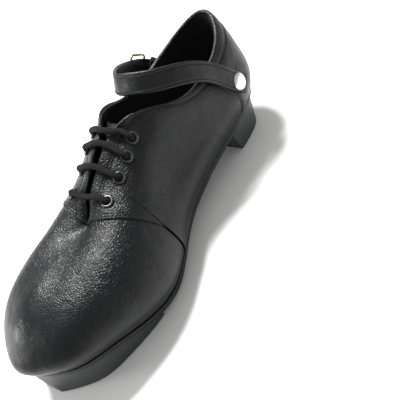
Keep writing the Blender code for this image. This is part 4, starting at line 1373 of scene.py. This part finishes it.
buckle_seat = strip_frame(STRAP_PATH, BUCKLE_AT, STRAP_THICKNESS / 2 + GAP + WIRE)
loop = rounded_loop(BUCKLE_LENGTH, STRAP_WIDTH + 2 * SPARE + 2 * WIRE, 0.0025, 8)
buckle = wire_piece("buckle_wire", loop, WIRE, True, buckle_seat)
finish_piece(buckle, dull_brass_plate, 60)
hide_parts("buckle_frame")
bar = BUCKLE_LENGTH / 2
low = PRONG - WIRE + GAP
over = WIRE + GAP + PRONG
bent = (
    (-bar * 0.45, 0, low),
    (bar * 0.20, 0, low),
    (bar * 0.72, 0, over * 0.8),
    (bar, 0, over),
    (bar * 1.2, 0, over),
)
prong = wire_piece("prong_wire", smooth_path(bent, 30), PRONG, False, buckle_seat)
finish_piece(prong, dull_brass_plate, 60)
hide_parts("buckle_prong")

# %% Keeper
def make_keeper():
    inside = BILLET_THICKNESS + 4 * GAP
    wide = STRAP_WIDTH + 2 * SPARE
    deep = STRAP_THICKNESS + inside + 3 * GAP
    rows = []
    for half, out in ((-0.5, 0), (0.5, 0), (0.5, 0.001), (-0.5, 0.001), (-0.5, 0)):
        loop = rounded_loop(deep + 2 * out, wide + 2 * out, 0.0006 + out, 5)
        rows.append([(half * 0.0050, y, x) for x, y, _ in loop + loop[:1]])
    piece = laid_grid("keeper_leather", np.array(rows))
    tidy_mesh(piece)
    soften = piece.modifiers.new("Soft edges", "BEVEL")
    soften.width = 0.0003
    soften.segments = 2
    soften.limit_method = "ANGLE"
    bpy.ops.object.modifier_apply(modifier=soften.name)
    piece.data.transform(strip_frame(STRAP_PATH, KEEPER_AT, -inside / 2))
    return finish_piece(piece, black_strap_leather)


keeper = make_keeper()
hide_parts("strap_keeper")

# %% All the stitches as one mesh
def join_stitches():
    size = len(STITCH_POINTS)
    points = np.concatenate(stitch_rows)
    faces = []
    for k in range(len(stitch_rows)):
        faces += [tuple(i + k * size for i in face) for face in STITCH_FACES]
    mesh = bpy.data.meshes.new("seam_stitches")
    mesh.from_pydata([tuple(p) for p in points], [], faces)
    piece = bpy.data.objects.new("seam_stitches", mesh)
    bpy.context.scene.collection.objects.link(piece)
    return finish_piece(piece, black_bonded_thread, 80)


stitches = join_stitches()

# %% [markdown]
# ## Floor, light and camera
# The shoe stands on a plain white floor under two soft boxes, with white all round
# it: black gloss shows nothing but what it mirrors. The camera looks down on the toe
# from the medial side and is rolled by about 34 degrees.

# %% Floor and light
deselect()
bpy.ops.mesh.primitive_plane_add(size=6, location=(0, 0, 0))
floor = bpy.context.object
floor.name = floor.data.name = "floor"
floor_paper, floor_tree, floor_shader = new_material("white_card", "#fbfbfa", 0.95)
floor.data.materials.append(floor_paper)

world = bpy.data.worlds.new("white_room")
bpy.context.scene.world = world
bpy.context.scene.view_settings.view_transform = "Standard"
world.use_nodes = True
world.node_tree.nodes["Background"].inputs["Color"].default_value = (1, 1, 1, 1)
world.node_tree.nodes["Background"].inputs["Strength"].default_value = 0.55


def softbox(name, place, aim, width, power):
    data = bpy.data.lights.new(name, "AREA")
    data.shape = "RECTANGLE"
    data.size = width
    data.size_y = width * 0.7
    data.energy = power
    made = bpy.data.objects.new(name, data)
    bpy.context.scene.collection.objects.link(made)
    made.location = place
    made.rotation_euler = (Vector(place) - Vector(aim)).to_track_quat("Z", "Y").to_euler()


softbox("overhead", (-0.32, 0.08, 0.9), (0, -0.06, 0.03), 0.30, 24)
softbox("left", (-0.9, -0.9, 0.35), (0, -0.10, 0.03), 0.30, 5)

# %% Camera
AZIMUTH, ELEVATION, ROLL = (math.radians(v) for v in (57.18, 41.91, -34.11))
AIM = Vector((-0.00822, -0.0523, -0.0262))
FOCAL_PIXELS = 486.05
back = Vector(
    (
        math.sin(AZIMUTH) * math.cos(ELEVATION),
        -math.cos(AZIMUTH) * math.cos(ELEVATION),
        math.sin(ELEVATION),
    )
)
level = Vector((math.cos(AZIMUTH), math.sin(AZIMUTH), 0))
upright = back.cross(level)
right = level * math.cos(ROLL) + upright * math.sin(ROLL)
top = -level * math.sin(ROLL) + upright * math.cos(ROLL)
lens = bpy.data.cameras.new("camera")
lens.sensor_width = 36
lens.lens = FOCAL_PIXELS / 400 * 36
lens.clip_start = 0.01
camera = bpy.data.objects.new("camera", lens)
bpy.context.scene.collection.objects.link(camera)
pose = Matrix((right, top, back)).transposed().to_4x4()
pose.translation = AIM + back * 0.39863
camera.matrix_world = pose
bpy.context.scene.camera = camera
print("camera at", tuple(round(v, 3) for v in pose.translation))
